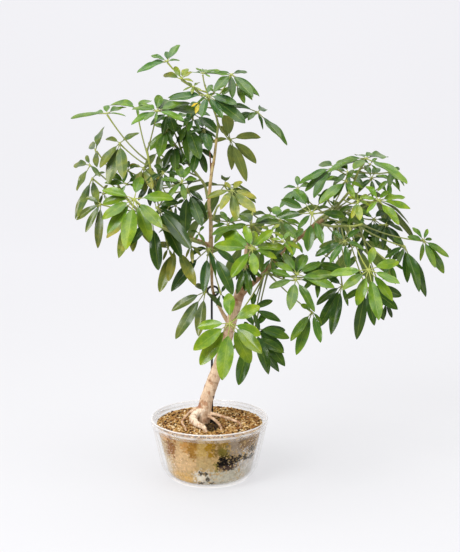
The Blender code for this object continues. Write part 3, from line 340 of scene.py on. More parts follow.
# Leafy shoots, as in the solids, with the colour of each leaf.
SHOOTS = {
    "top_shoot": shoot(
        ("leader", 1.0), (2.2, 1.3), [(15, 12, 602), (8, 10, 626), (-1, 10, 649), (-6, 10, 664)],
        seen("olive", (35, 26, 575), (0.1, 0.8, 0.5), 10, (51, 1), (44, -37), (28, -66), (3, -46),
             (-30, -6), (-18, 20), (-7, 33)),
        seen("dark", (80, 0, 621), (0.4, -0.45, 0.8), 10, (48, -54), (36, -47), (8, -30), (-16, -16),
             (-38, -18), (-46, 7), (14, 12)),
        seen("blue", (-2, -20, 649), (-0.1, -0.6, 0.8), 7, (61, -48), (48, -19), (25, -40), (-7, -41),
             (-19, -19), (-60, -9), (-64, 0), (8, 20)),
        seen("dark", (37, -15, 682), (0.1, -0.6, 0.8), 6, (46, -35), (34, -44), (2, -41), (-27, -35),
             (-22, 6), (26, 5)),
        seen("blue", (-67, 15, 702), (-0.1, -0.6, 0.75), 6, (20, 3), (19, 33), (1, 24), (-27, 11),
             (-39, -5), (-48, -21)),
        seen("young", (-44, 0, 674), (-0.2, -0.6, 0.8), 4, (20, -4), (18, 12), (9, 24), (-12, 24),
             (-31, 14)),
        seen("mid", (-9, 10, 683), (0.1, -0.3, 0.95), 3, (44, 4), (27, 8), (8, 14), (-12, 12), (-24, 5),
             (12, -8)),
        extra("mid", (45, -6, 666), (0.1, -0.6, 0.8), 4, (26, -27), (34, -19), (13, -34), (-23, -21),
              (-13, 10)),
        extra("mid", (9, -4, 653), (0.0, -0.6, 0.8), 3, (13, -10), (-10, -11), (-8, 8), (11, 10)),
        extra("young", (-24, -4, 662), (-0.1, -0.5, 0.85), 3, (14, -8), (-2, -15), (-17, -6), (-12, 9),
              (10, 10)),
        extra("yellow", (-14, -24, 637), (0.0, -0.8, 0.6), 3, (6, -20), (-6, -19), (-13, -6), (8, 8)),
    ),
    "left_tip_shoot": shoot(
        ("left_branch", 1.0), (3.0, 1.8),
        [(-53, 0, 437), (-69, 5, 472), (-87, 5, 503), (-96, 0, 532), (-101, 0, 562)],
        seen("olive", (-54, -24, 403), (-0.1, -0.8, 0.55), 10, (33, -64), (-10, -56), (-26, -74), (-34, 4),
             (20, 16)),
        seen("olive", (-124, -20, 457), (0.05, -0.75, 0.65), 8, (2, -62), (-18, -73), (36, -52), (-40, -40),
             (48, -10)),
        seen("deep", (-92, -28, 450), (0.0, -0.8, 0.5), 8, (11, -84), (-34, -42), (-24, 24), (26, 22)),
        seen("deep", (-85, -28, 469), (0.1, -0.75, 0.65), 12, (42, -83), (57, -68), (50, -34), (36, 8),
             (-12, 28)),
        seen("deep", (-36, 2, 495), (0.1, -0.75, 0.65), 8, (-2, -74), (26, -62), (33, -50), (26, -20),
             (-22, -22), (-24, 12), (8, 24)),
        seen("mid", (-43, -18, 510), (0.1, -0.7, 0.7), 5, (24, 6), (13, 26), (-10, 33), (-34, 3),
             (-24, -28), (5, -32)),
        seen("deep", (-74, -10, 524), (0.0, -0.75, 0.6), 6, (24, -4), (12, -28), (-9, -40), (-30, -20),
             (-16, 14)),
        seen("mid", (-133, -20, 506), (0.0, -0.8, 0.5), 4, (28, -8), (25, 18), (-34, 20), (-36, 2),
             (-14, -22)),
        seen("olive", (-107, -5, 531), (0.0, -0.8, 0.55), 6, (28, -20), (17, -38), (4, -40), (-13, -38),
             (-26, 4), (14, 12)),
        seen("moss", (-145, 0, 571), (-0.1, -0.7, 0.65), 8, (30, 19), (10, -62), (-17, -68), (-30, -42),
             (-26, 10)),
        seen("mid", (-163, -20, 620), (-0.15, -0.3, 0.95), 6, (25, 17), (-4, 17), (-38, 6), (-58, -8),
             (30, -4)),
        seen("mid", (-117, 10, 627), (0.05, -0.3, 0.95), 6, (24, 4), (20, 20), (-50, 17), (-27, 6),
             (3, -14), wide=1.3),
        seen("mid", (-82, -25, 624), (0.1, -0.5, 0.85), 7, (70, 6), (53, 18), (18, 29), (2, 30), (-31, 16),
             (-40, 2), (-40, -24), (-19, -18), (-2, -20), (44, -16), wide=1.15),
        extra("olive", (-66, -32, 402), (0.0, -0.8, 0.55), 5, (8, -18), (-8, -20), (-13, 2), (7, 13)),
        extra("deep", (-54, -12, 469), (0.0, -0.8, 0.55), 5, (13, -13), (0, -21), (-13, -7), (-10, 15),
              (13, 11)),
        extra("dark", (-131, -14, 528), (0.0, -0.7, 0.7), 5, (11, -18), (-7, -23), (-18, -3), (0, 16),
              (16, 10)),
    ),
    "left_side_shoot": shoot(
        ("left_branch", 0.3), (2.8, 1.8),
        [(-22, -46, 416), (-78, -56, 442), (-116, -32, 466), (-138, 0, 484), (-158, 10, 515)],
        seen("fresh", (-117, -70, 488), (0.0, -0.7, 0.7), 8, (62, 2), (46, -47), (28, -67), (-7, -81),
             (-41, -56), (-48, -34), (-52, -6), (-52, 14), (7, 40), wide=1.08),
        seen("moss", (-192, 5, 513), (-0.3, -0.7, 0.6), 10, (20, 10), (14, -52), (6, -40), (-18, -68),
             (-27, -68), wide=0.8),
        seen("moss", (-173, -46, 477), (-0.1, -0.85, 0.45), 10, (-4, -72), (-23, -46), (-40, -26),
             (-26, 10), wide=0.85),
        seen("moss", (-193, -12, 536), (-0.5, -0.6, 0.6), 6, (18, -20), (-18, -44), (-32, 3), (-10, 18)),
        seen("moss", (-187, 15, 558), (-0.6, -0.5, 0.6), 5, (8, 46), (9, 22), (-14, 15), (6, -30)),
        extra("moss", (-173, -12, 490), (-0.2, -0.7, 0.6), 5, (10, -18), (-5, -23), (-13, 0), (7, 15)),
    ),
    "inner_shoot": shoot(
        ("leader", 0.67), (2.6, 1.8), [(-8, 28, 500), (-26, 44, 522), (-44, 54, 548), (-54, 58, 576)],
        seen("deep", (-99, 38, 499), (-0.25, -0.8, 0.5), 8, (27, 7), (23, -23), (0, -37), (-20, -27),
             (-23, 7), (-2, 30)),
        seen("moss", (-86, 52, 552), (-0.1, -0.75, 0.6), 8, (4, -44), (-22, -30), (-16, 22), (26, 12)),
        seen("deep", (-57, 38, 566), (0.0, -0.75, 0.6), 8, (16, -36), (2, -46), (-18, -42), (-28, -16),
             (18, 14)),
        seen("dark", (-56, 60, 603), (0.0, -0.6, 0.75), 8, (9, -30), (-12, -36), (-24, -28), (-28, 4),
             (16, 18)),
        seen("dark", (-37, 40, 598), (0.1, -0.75, 0.6), 10, (46, -26), (23, -60), (6, -66), (-10, -30),
             (-38, -18), (8, 22)),
        seen("deep", (-18, 26, 561), (0.1, -0.75, 0.6), 8, (14, -42), (-8, -44), (-27, -26), (26, -18),
             (12, 20)),
        seen("dark", (-60, 30, 535), (0.0, -0.75, 0.65), 8, (28, 2), (18, -25), (-2, -35), (-22, -22),
             (-22, 8), (2, 25)),
        seen("mid", (-71, 34, 590), (-0.1, -0.7, 0.7), 8, (12, -30), (-9, -48), (-27, -34), (-20, 10),
             (16, 8)),
        seen("blue", (-8, 34, 590), (0.1, -0.6, 0.8), 8, (20, -13), (10, -38), (-10, -33), (-23, -7),
             (-13, 23), (15, 20)),
        seen("deep", (-68, 42, 617), (-0.05, -0.65, 0.75), 8, (27, -15), (13, -35), (-8, -38), (-28, -22),
             (-20, 15), (17, 18)),
        seen("blue", (-28, 48, 617), (0.1, -0.6, 0.8), 8, (43, -34), (30, -4), (8, 24), (-20, 8),
             (-14, -24)),
        extra("blue", (-26, 22, 609), (0.0, -0.7, 0.7), 6, (12, -20), (-8, -23), (-18, -3), (5, 20)),
        wide=1.22,
    ),
    "leader_side_shoot": shoot(
        ("leader", 0.56), (2.0, 1.6), [(14, -6, 466), (24, -18, 476)],
        seen("olive", (38, -45, 499), (0.05, -0.65, 0.75), 5, (40, -13), (37, -38), (7, -50), (-18, -32),
             (-40, -12), (-12, 14), (16, 16), wide=1.12),
    ),
    "junction_shoot": shoot(
        ("leader", 0.42), (2.4, 1.8), [(3, -4, 398), (-2, -14, 392)],
        seen("moss", (-6, -30, 329), (-0.2, -0.8, 0.5), 10, (28, -26), (-10, -72), (-49, -78), (-55, -32),
             (-18, 12), bare=0.22),
        seen("olive", (-28, -42, 407), (-0.2, -0.8, 0.5), 8, (16, -16), (3, -28), (-9, -19), (-11, 10),
             (-2, 19)),
        seen("blue", (0, -20, 399), (0.0, -0.8, 0.55), 22, (43, -24), (40, -74), (12, -44), (-8, -72),
             (-62, -70), (-30, -12), bare=0.32),
        extra("deep", (20, -46, 329), (0.0, -0.97, 0.2), 5, (11, -18), (-7, -20), (-11, 2), (8, 13)),
        extra("mid", (-16, -17, 425), (-0.1, -0.7, 0.7), 5, (10, -15), (-7, -16), (-15, 3), (8, 11)),
    ),
    "trunk_top_shoot": shoot(
        ("trunk", 1.0), (2.8, 1.8), [(70, -2, 434), (74, -14, 440)],
        seen("deep", (63, -18, 377), (0.0, -0.8, 0.5), 8, (14, -34), (-3, -48), (-18, -30), (-18, 6),
             (18, 6)),
        seen("mid", (119, 12, 442), (0.0, -0.5, 0.85), 8, (34, -6), (26, -33), (-8, -30), (-32, 7),
             (-8, 26), (16, 20)),
        seen("bright", (70, -85, 410), (0.0, -0.75, 0.65), 5, (53, 5), (34, 31), (4, 30), (-12, 38),
             (-48, 29), (-60, 5), (-33, -45), (4, -41), (40, -15), wide=1.12),
        seen("bright", (119, -75, 421), (0.15, -0.6, 0.8), 4, (29, -12), (12, 15), (-5, 13), (-18, 4),
             (16, -22)),
        seen("mid", (71, -35, 441), (0.0, -0.45, 0.9), 8, (46, 7), (30, 15), (-15, 24), (-65, -18),
             (-46, -6), (-24, 16)),
        extra("mid", (87, -34, 403), (0.0, -0.9, 0.35), 6, (29, 8), (24, -23), (0, -34), (-24, -23),
              (-28, 13), (2, 28)),
        extra("young", (99, -60, 433), (0.0, -0.6, 0.75), 4, (-13, 11), (16, 13), (22, -6), (5, -19),
              (-16, -14)),
        extra("dark", (60, -40, 372), (0.0, -0.85, 0.5), 8, (26, -16), (8, -46), (-14, -44), (-30, -22),
              (-18, 14), (16, 16)),
    ),
    "lower_front_shoot": shoot(
        ("right_branch", 0.3), (2.8, 2.0), [(92, -16, 356), (98, -30, 362)],
        seen("dark", (69, -62, 261), (0.1, -0.8, 0.55), 8, (58, 10), (54, -26), (47, -57), (-20, -74),
             (-30, -20), (-10, 24)),
        seen("dark", (71, -52, 304), (0.15, -0.8, 0.5), 6, (48, -20), (34, 14), (4, 26), (-24, -10),
             (12, -34)),
        seen("bright", (35, -120, 297), (-0.05, -0.8, 0.55), 6, (-2, 47), (47, 28), (48, -19), (49, -45),
             (32, -62), (-12, -86), (-47, -65), (-57, -41), (-52, -7), wide=1.22),
        seen("dark", (124, -45, 382), (0.1, -0.8, 0.55), 8, (26, 0), (20, -23), (-2, -31), (-23, -16),
             (-20, 15), (8, 24)),
        seen("dark", (177, -62, 361), (0.25, -0.8, 0.5), 8, (16, -22), (-2, -35), (-24, -22), (-24, 6),
             (3, 25)),
        seen("mid", (168, -70, 304), (-0.05, -0.8, 0.5), 8, (16, -20), (12, -48), (-26, -69), (-36, -46),
             (-18, 12)),
        seen("mid", (140, -85, 361), (0.05, -0.65, 0.75), 5, (53, -9), (60, 8), (15, 44), (-42, 13),
             (-43, -14), (-12, -48), (28, -52)),
        extra("dark", (76, -58, 274), (0.1, -0.8, 0.5), 8, (49, -62), (21, -72), (47, -38), (56, -16),
              (21, 24), (-16, 23)),
        extra("dark", (103, -44, 388), (0.0, -0.8, 0.55), 6, (-18, -24), (5, -31), (26, -11), (21, 20),
              (-11, 24)),
        extra("mid", (142, -80, 368), (0.1, -0.7, 0.65), 5, (-21, 35), (-35, 19), (40, 18), (59, -21),
              (18, 32)),
        extra("mid", (142, -36, 416), (0.1, -0.7, 0.7), 6, (11, -21), (-8, -28), (-23, -11), (-16, 15),
              (13, 21)),
    ),
    "right_up_shoot": shoot(
        ("right_branch", 1.0), (2.8, 1.8),
        [(202, 8, 453), (216, 9, 470), (235, 12, 494), (246, 14, 520), (256, 14, 536)],
        seen("dark", (168, -35, 460), (0.0, -0.8, 0.55), 6, (56, -4), (34, 42), (-28, 42), (-50, 22),
             (-58, -5), (-24, -26), (-8, -62), (15, -50), bare=0.33),
        seen("young", (241, -45, 481), (0.0, -0.6, 0.8), 4, (22, -8), (16, 12), (-4, 16), (-16, 8),
             (-12, -28), (-1, -32)),
        seen("bright", (273, -55, 484), (0.15, -0.6, 0.75), 5, (48, 8), (18, 17), (-16, 26), (-30, 4),
             (-21, -21), (27, -41), (54, -12)),
        seen("mid", (225, -10, 510), (-0.1, -0.6, 0.8), 7, (27, -12), (10, -30), (-22, -30), (-46, -38),
             (-38, 6), (14, 20)),
        seen("dark", (208, 10, 531), (-0.4, -0.5, 0.8), 8, (-26, -24), (-39, -52), (-50, -38), (-60, -26),
             (-24, 10), (20, -4)),
        seen("dark", (304, 10, 524), (0.6, -0.5, 0.6), 6, (10, -32), (18, -25), (25, -13), (14, 6),
             (-18, 6), (-14, -28)),
        seen("mid", (259, 10, 545), (0.1, -0.3, 0.95), 8, (46, 13), (12, 12), (-10, 13), (-52, -8),
             (-66, -22), (-26, -24), (45, -26), (54, -46)),
        extra("dark", (264, -4, 537), (0.0, -0.6, 0.8), 4, (11, -11), (-10, -11), (-15, 7), (13, 11)),
    ),
    "right_low_shoot": shoot(
        ("right_branch", 0.94), (2.6, 1.8),
        [(206, -6, 434), (222, -12, 436), (238, -16, 436), (252, -20, 440)],
        seen("dark", (220, -24, 338), (-0.2, -0.9, 0.35), 8, (10, -34), (-20, -80), (-36, -68), (-42, -32),
             (-22, 14)),
        seen("dark", (227, -34, 365), (-0.1, -0.85, 0.45), 8, (30, -8), (-40, -14), (-63, -2), (-50, 10),
             (16, 24)),
        seen("dark", (221, -45, 416), (-0.05, -0.7, 0.7), 8, (28, 20), (30, -14), (4, -46), (-26, -36),
             (-48, -24), (-20, 16)),
        seen("deep", (256, -56, 342), (0.0, -0.95, 0.25), 8, (60, -14), (50, -36), (30, -54), (12, -62),
             (-15, -86), (-36, -20)),
        seen("bright", (253, -110, 381), (0.0, -0.75, 0.65), 5, (50, 12), (10, 36), (-60, -8), (-44, -32),
             (-21, -56), (9, -76), (36, -49), (46, -22)),
        seen("dark", (296, -38, 380), (0.3, -0.9, 0.3), 8, (23, 16), (24, -13), (10, -36), (-13, -29),
             (-18, 0), (0, 23)),
        seen("dark", (320, -34, 406), (0.25, -0.85, 0.4), 8, (36, -83), (22, -74), (4, -60), (-14, -32),
             (-33, -20), (-18, 12)),
        seen("mid", (354, -14, 412), (0.35, -0.8, 0.45), 5, (16, 2), (8, 19), (-17, 22), (-29, 5),
             (-6, -34), (17, -45), (37, -54), (42, -28)),
        extra("deep", (290, -46, 314), (0.0, -0.98, 0.15), 5, (11, -25), (-3, -26), (-13, -10), (11, 8)),
        extra("dark", (192, -36, 390), (0.0, -0.85, 0.5), 5, (13, -11), (-10, -15), (-16, 7), (10, 15)),
    ),
    "back_shoot": shoot(
        ("trunk", 0.97), (2.8, 1.8), [(70, 34, 424), (72, 66, 440), (76, 92, 448)],
        seen("mid", (32, 26, 433), (0.0, -0.75, 0.65), 8, (20, 17), (20, -27), (-2, -39), (-23, -32),
             (-29, -5), (-13, 23)),
        seen("deep", (121, 26, 382), (0.0, -0.75, 0.6), 8, (28, -12), (10, -28), (-14, -24), (-24, 2),
             (18, 12)),
        leaf("mid", (62, 130, 389), (-0.1, 0.7, 0.7), 70, 0.35, 7),
        leaf("dark", (-9, 110, 437), (-0.2, 0.3, 0.95), 70, 0.3, 7),
        leaf("mid", (106, 150, 431), (0.2, 0.5, 0.85), 74, 0.3, 7),
        leaf("dark", (26, 150, 485), (0.0, 0.5, 0.85), 72, 0.3, 7),
    ),
    "right_back_shoot": shoot(
        ("right_branch", 0.86), (2.8, 1.8), [(184, 34, 440), (206, 62, 450), (226, 78, 456)],
        seen("deep", (217, 18, 438), (0.0, -0.75, 0.6), 8, (26, -8), (8, -35), (-12, -32), (-27, -6),
             (14, 18)),
        leaf("mid", (253, 90, 387), (0.3, 0.75, 0.55), 72, 0.25, 7),
        seen("deep", (296, 22, 434), (0.1, -0.75, 0.6), 8, (30, -12), (16, -37), (-6, -43), (-25, -22),
             (12, 15)),
        seen("deep", (258, 18, 414), (0.0, -0.75, 0.6), 8, (27, -13), (14, -38), (-8, -38), (-27, -20),
             (-12, 16)),
        seen("dark", (149, 40, 492), (-0.1, -0.6, 0.75), 8, (24, 8), (17, -29), (-12, -27), (-32, -34),
             (-24, 3), (0, 22)),
        seen("dark", (234, 48, 518), (-0.1, -0.6, 0.75), 8, (30, -3), (23, -27), (-2, -37), (-27, -23),
             (-30, 7), (-10, 20)),
        leaf("deep", (287, 100, 465), (0.3, 0.4, 0.85), 70, 0.35, 7),
        seen("mid", (245, 22, 464), (0.0, -0.7, 0.7), 8, (26, -18), (8, -38), (-14, -34), (-29, -10),
             (14, 18)),
        seen("dark", (274, 50, 508), (0.1, -0.6, 0.75), 8, (33, 3), (23, -23), (0, -33), (-25, -23),
             (-33, 3), (-10, 23), (17, 23)),
        seen("mid", (300, 24, 508), (0.2, -0.6, 0.75), 8, (25, 3), (17, -20), (-2, -33), (-22, -20),
             (-20, 10), (8, 20)),
        seen("deep", (277, 34, 441), (0.1, -0.7, 0.7), 10, (50, -50), (37, -12), (24, 14), (-20, 10),
             (-21, -42), (0, -48), (18, -44)),
        leaf("mid", (219, 120, 447), (0.1, 0.5, 0.85), 72, 0.35, 7),
        extra("dark", (198, 12, 476), (0.0, -0.7, 0.7), 5, (13, -13), (-10, -13), (-17, 10), (12, 15)),
    ),
}


class Wire:
    """A shader socket. Sums and products of wires and numbers add their own Math nodes."""

    def __init__(self, finish, socket):
        self.finish = finish
        self.socket = socket

    def math(self, operation, *values):
        return self.finish.node("Math", {"operation": operation}, dict(enumerate(values)))

    def __add__(self, other):
        return self.math("ADD", self, other)

    def __sub__(self, other):
        return self.math("SUBTRACT", self, other)

    def __rsub__(self, other):
        return self.math("SUBTRACT", other, self)

    def __mul__(self, other):
        return self.math("MULTIPLY", self, other)

    def __truediv__(self, other):
        return self.math("DIVIDE", self, other)

    def __pow__(self, other):
        return self.math("POWER", self, other)

    def __abs__(self):
        return self.math("ABSOLUTE", self)

    __radd__ = __add__
    __rmul__ = __mul__

    def fraction(self):
        return self.math("FRACT", self)

    def between(self, low, high):
        """0 below low, 1 above high, and a smooth step between."""
        settings = {"interpolation_type": "SMOOTHSTEP"}
        return self.finish.node("MapRange", settings, {"Value": self, "From Min": low, "From Max": high})

    def near(self, value, inner, outer):
        """1 within inner of a value, 0 beyond outer."""
        return 1 - abs(self - value).between(inner, outer)


class Finish:
    """A material under construction: its node tree and its Principled surface."""

    def __init__(self, name, **constants):
        self.material = bpy.data.materials.new(name)
        self.material.use_nodes = True
        self.tree = self.material.node_tree
        self.surface = self.tree.nodes["Principled BSDF"]
        self.set(**constants)

    def node(self, kind, settings=None, sockets=None, output=0):
        """Adds a node, gives it its settings, then its sockets' values or wires, and returns an output."""
        made = self.tree.nodes.new("ShaderNode" + kind)
        for key, value in (settings or {}).items():
            setattr(made, key, value)
        self.feed(made, sockets or {})
        return Wire(self, made.outputs[output])

    def feed(self, made, sockets):
        for key, value in sockets.items():
            socket = made.inputs[key]
            if isinstance(value, Wire):
                self.tree.links.new(value.socket, socket)
            elif socket.type == "RGBA" and len(value) == 3:
                socket.default_value = (*value, 1.0)
            else:
                socket.default_value = value

    def set(self, **values):
        """Sets the surface's sockets, named with _ for a space."""
        self.feed(self.surface, {key.replace("_", " "): value for key, value in values.items()})

    def mix(self, factor, first, second, blend="MIX"):
        settings = {"data_type": "RGBA", "blend_type": blend}
        return self.node("Mix", settings, {0: factor, 6: first, 7: second}, output=2)

    def layered(self, colour, *layers):
        """A colour multiplied by each layer's colour, as far as the layer's factor says."""
        for factor, tint in layers:
            colour = self.mix(factor, colour, tint, "MULTIPLY")
        return colour

    def place(self, scale=1.0, stretch=(1, 1, 1)):
        """Object coordinates in metres, scaled to the size of a pattern."""
        coordinates = self.node("TexCoord", output=3)
        size = tuple(scale * s for s in stretch)
        return self.node("Mapping", {}, {"Vector": coordinates, "Scale": size})

    def tint(self):
        return self.node("Attribute", {"attribute_name": "tint"})

    def path(self):
        """The place that a piece's points carry."""
        return self.node("Attribute", {"attribute_name": "place"}, output=1)

    def parts(self, vector):
        """The three parts of a vector."""
        split = self.node("SeparateXYZ", {}, {0: vector}).socket.node
        return [Wire(self, output) for output in split.outputs]

    def millimetres(self):
        return self.parts(self.place(1000.0))

    def cloud(self, scale, detail=3.0, stretch=(1, 1, 1)):
        sockets = {"Vector": self.place(stretch=stretch), "Scale": scale, "Detail": detail, "Roughness": 0.55}
        return self.node("TexNoise", {}, sockets)

    def grains(self, output=0):
        """Cells the size of a grain: how far their middle lies, or as output 1 a colour for each."""
        return self.node("TexVoronoi", {}, {"Vector": self.place(), "Scale": 300.0}, output=output)

    def bump(self, height, strength, distance):
        sockets = {"Height": height, "Strength": strength, "Distance": distance}
        self.set(Normal=self.node("Bump", {}, sockets))


def leaf_finish():
    """Waxy leaves: a pale rib, faint side veins, yellower tips, yellower edges with a painted highlight,
    painted shade towards the blade's base, and a duller, paler underside.
    """
    finish = Finish("umbrella_leaf", Specular_IOR_Level=0.07, Coat_Roughness=0.22)
    across, along_blade, under = finish.parts(finish.path())
    across = abs(across)
    broad, blotch, fine = (finish.cloud(scale) for scale in (60.0, 170.0, 420.0))
    rib = 1 - across.between(0.02, 0.075)
    vein = abs((along_blade * 11 - across * 1.9).fraction() - 0.5)
    vein = (1 - vein.between(0.02, 0.13)) * across.between(0.08, 0.2) * (1 - across.between(0.7, 0.95))
    patches = finish.mix(broad.between(0.36, 0.66), (0.70, 0.80, 0.90), (1.34, 1.18, 0.85))
    colour = finish.layered(
        finish.tint(),
        (1.0, patches),
        (along_blade.between(0.30, 1.05) * 0.85, (1.36, 1.17, 0.70)),
        # Painted shade: darker and bluer towards the blade's base, at the hub.
        ((1 - along_blade.between(0.0, 0.45)) * 0.7, (0.74, 0.84, 1.0)),
        (blotch.between(0.50, 0.75) * 0.5, (1.35, 1.25, 1.1)),
        (vein * 0.6, (1.40, 1.30, 1.30)),
        # Yellower edges, which also carry a painted highlight.
        (across.between(0.80, 1.0) * 0.6, (1.50, 1.30, 1.0)),
    )
    colour = finish.mix(rib * (under * 0.35 + 0.26), colour, (0.36, 0.42, 0.07))
    pale = finish.mix(0.50, colour, (0.22, 0.26, 0.08))
    colour = finish.mix(under * 0.85, colour, pale)
    finish.set(Base_Color=colour, Roughness=0.42 + fine * 0.12 + under * 0.2, Coat_Weight=0.52 - under * 0.46)
    finish.bump(rib * 0.6 + vein * 0.5 + fine * 0.3, 0.45, 0.0007)
    return finish.material


def stalk_finish():
    """Green stalks and stems, with faint lengthwise streaks and pale dots."""
    finish = Finish("green_stalk", Specular_IOR_Level=0.5)
    streak = finish.cloud(400.0, stretch=(1, 1, 0.2))
    dots = finish.cloud(900.0)
    colour = finish.mix(streak.between(0.4, 0.7) * 0.3, finish.tint(), (0.30, 0.33, 0.12))
    colour = finish.mix(dots.between(0.62, 0.7) * 0.4, colour, (0.45, 0.42, 0.25))
    finish.set(Base_Color=colour, Roughness=0.42 + streak * 0.2)
    finish.bump(streak * 0.6 + dots * 0.4, 0.3, 0.0004)
    return finish.material


def bark_finish():
    """Smooth tan bark with leaf-scar rings, lengthwise streaks, pale corky dots and darker stains."""
    finish = Finish("umbrella_bark", Specular_IOR_Level=0.3)
    wander, stain, specks = (finish.cloud(scale) for scale in (60.0, 34.0, 700.0))
    streak = finish.cloud(320.0, stretch=(1, 1, 0.16))
    blotch = finish.cloud(120.0, detail=4.0, stretch=(1, 1, 0.6))
    length = finish.parts(finish.path())[1]
    ring = 1 - abs((length * 0.085 + wander * 0.8).fraction() - 0.5).between(0.01, 0.09)
    colour = finish.layered(
        finish.tint(),
        (streak.between(0.35, 0.75) * 0.6, (0.62, 0.50, 0.42)),
        (stain.between(0.52, 0.72) * 0.6, (0.74, 0.54, 0.42)),
        (blotch.between(0.52, 0.64) * 0.85, (0.60, 0.40, 0.29)),
        ((0.47 - blotch).between(0.0, 0.10) * 0.6, (1.18, 1.20, 1.26)),
    )
    colour = finish.mix(specks.between(0.6, 0.7) * 0.3, colour, (0.74, 0.66, 0.50))
    colour = finish.layered(colour, (ring * 0.6, (0.52, 0.42, 0.34)))
    across, _, height = finish.millimetres()
    height += (blotch - 0.5) * 14
    for (spot, level), size, scar_tint in SCARS:
        far = ((across - spot) / size) ** 2.0 + ((height - level) / size) ** 2.0
        colour = finish.mix((1 - far.between(0.4, 1.2)) * 0.85, colour, scar_tint)
    finish.set(Base_Color=colour, Roughness=0.62 + streak * 0.25)
    finish.bump(streak * 0.5 + specks * 0.3 - ring * 0.6, 0.55, 0.0010)
    return finish.material


def glass_finish():
    """Clear glass, unseen face on, with painted light: a painted white reflection where it turns away and
    grey at its outline, painted highlights on its lip and band, a painted dark line at its step, and a
    painted glow at its foot.
    """
    finish = Finish("bowl_glass", Transmission_Weight=0.35, IOR=1.47, Emission_Strength=1.0)
    turned_away = finish.node("LayerWeight", {}, {"Blend": 0.5}, output=1)
    # Smears, which roughen the glass and also streak its painted highlights and the band's painted white
    # haze.
    smear_and_sheen = finish.cloud(45.0, stretch=(1, 1, 3))
    height = finish.millimetres()[2]
    # Painted highlights: a white line on the lip, a streaked white line at 97 mm, and a streaked white haze
    # over the band.
    lip = height.between(102.8, 104.2) * 0.75
    shine = height.near(97.0, 0.4, 1.6) * smear_and_sheen.between(0.25, 0.55) * 0.5
    band = height.between(92.0, 94.0) * (smear_and_sheen * 0.25 + 0.06)
    # Painted shade: a dark line at the band's step.
    step = height.near(91.0, 0.2, 1.2) * 0.35
    # Painted glow: the foot turns white and emits light, though no lamp lights it.
    foot = (1 - height.between(0.5, 3.5)) * 0.45
    # The step's painted dark line, brownish, over the glass's white.
    colour = finish.mix(step * 2.0, (0.97, 0.96, 0.96), (0.36, 0.27, 0.22))
    # Painted reflection: white where the glass turns away from view, and grey at its very outline.
    colour = finish.mix(turned_away.between(0.90, 1.0) * 0.8, colour, (0.50, 0.51, 0.53))
    alpha = turned_away ** 4.0 * 0.60 + lip + shine + band + step + foot
    # The foot's painted glow, as emitted light.
    glow = finish.mix(foot * 2.2, (0.0, 0.0, 0.0), (0.46, 0.46, 0.47))
    finish.set(Base_Color=colour, Emission_Color=glow, Alpha=alpha, Roughness=smear_and_sheen * 0.06 + 0.01)
    return finish.material


def liner_finish():
    """Thin clear plastic, seen only where it turns away, as a painted white reflection."""
    finish = Finish("liner_plastic", Base_Color=(0.97, 0.95, 0.92), Transmission_Weight=0.6, IOR=1.30)
    turned_away = finish.node("LayerWeight", {}, {"Blend": 0.5}, output=1)
    film = finish.cloud(22.0)
    # Painted reflection where the liner turns away, and a faint real film.
    alpha = turned_away ** 4.0 * 0.3 + film.between(0.55, 0.8) * 0.03
    finish.set(Alpha=alpha, Roughness=film * 0.3 + 0.01)
    return finish.material


def stained(finish):
    """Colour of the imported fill: stains as patches across the front and the back of the pot, whose edges
    break up from grain to grain."""
    streak = finish.cloud(110.0, stretch=(1, 1, 0.2))
    spots = finish.cloud(230.0, detail=5.0)
    grain = finish.parts(finish.grains(output=1))[0]
    across, _, height = finish.millimetres()
    across += (streak - 0.5) * 12
    height += (spots - 0.5) * 12
    uneven = (spots - 0.5) * 2.0 + (grain - 0.5) * 1.5
    colour = FILL_TINT
    for centre, size, tint, strength in STAINS:
        far = ((across - centre[0]) / size[0]) ** 2.0 + ((height - centre[1]) / size[1]) ** 2.0
        colour = finish.mix((1 - (far + uneven).between(0.35, 1.25)) * strength, colour, tint)
    return finish.layered(colour, (1.0, grain * 0.22 + 0.70))


def fill_finish():
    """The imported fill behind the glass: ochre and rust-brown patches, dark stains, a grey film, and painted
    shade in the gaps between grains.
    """
    finish = Finish("gravel_fill", Specular_IOR_Level=0.1)
    small = finish.cloud(160.0, detail=5.0)
    grains = finish.grains()
    colour = finish.layered(
        stained(finish),
        (small.between(0.45, 0.75) * 0.5, (0.46, 0.38, 0.28)),
        # Painted shade: darker in the gaps between grains.
        (grains.between(0.45, 0.9) * 0.22, (0.40, 0.30, 0.22)),
    )
    finish.set(Base_Color=colour, Roughness=0.6 + small * 0.3)
    finish.bump(1 - grains, 0.5, 0.0010)
    return finish.material


def side_grain_finish():
    """Grains pressed against the liner: they take the stains of the fill round them."""
    finish = Finish("stained_grains", Specular_IOR_Level=0.1)
    speck = finish.cloud(500.0)
    colour = finish.mix(0.13, stained(finish), finish.tint())
    colour = finish.layered(colour, (speck.between(0.45, 0.7) * 0.35, (0.50, 0.42, 0.32)))
    finish.set(Base_Color=colour, Roughness=0.6 + speck * 0.3)
    finish.bump(speck, 0.35, 0.0003)
    return finish.material


def grain_finish():
    """Loose grains of pumice and baked clay, each in its own tint, and damp beside the thick root."""
    finish = Finish("gravel_grains", Specular_IOR_Level=0.15)
    speck, damp = finish.cloud(1600.0), finish.cloud(40.0)
    across, back, _ = finish.millimetres()
    wet = ((across - 4) / 14) ** 2.0 + ((back + 18) / 38) ** 2.0
    wet = 1 - (wet + (damp - 0.5) * 2.0).between(0.5, 1.1)
    colour = finish.layered(
        finish.tint(),
        (speck.between(0.45, 0.7) * 0.5, (0.45, 0.32, 0.22)),
        (wet * (1 - speck.between(0.52, 0.66) * 0.5), (0.07, 0.065, 0.06)),
    )
    finish.set(Base_Color=colour, Roughness=0.85 - wet * 0.3)
    finish.bump(speck, 0.6, 0.0004)
    return finish.material


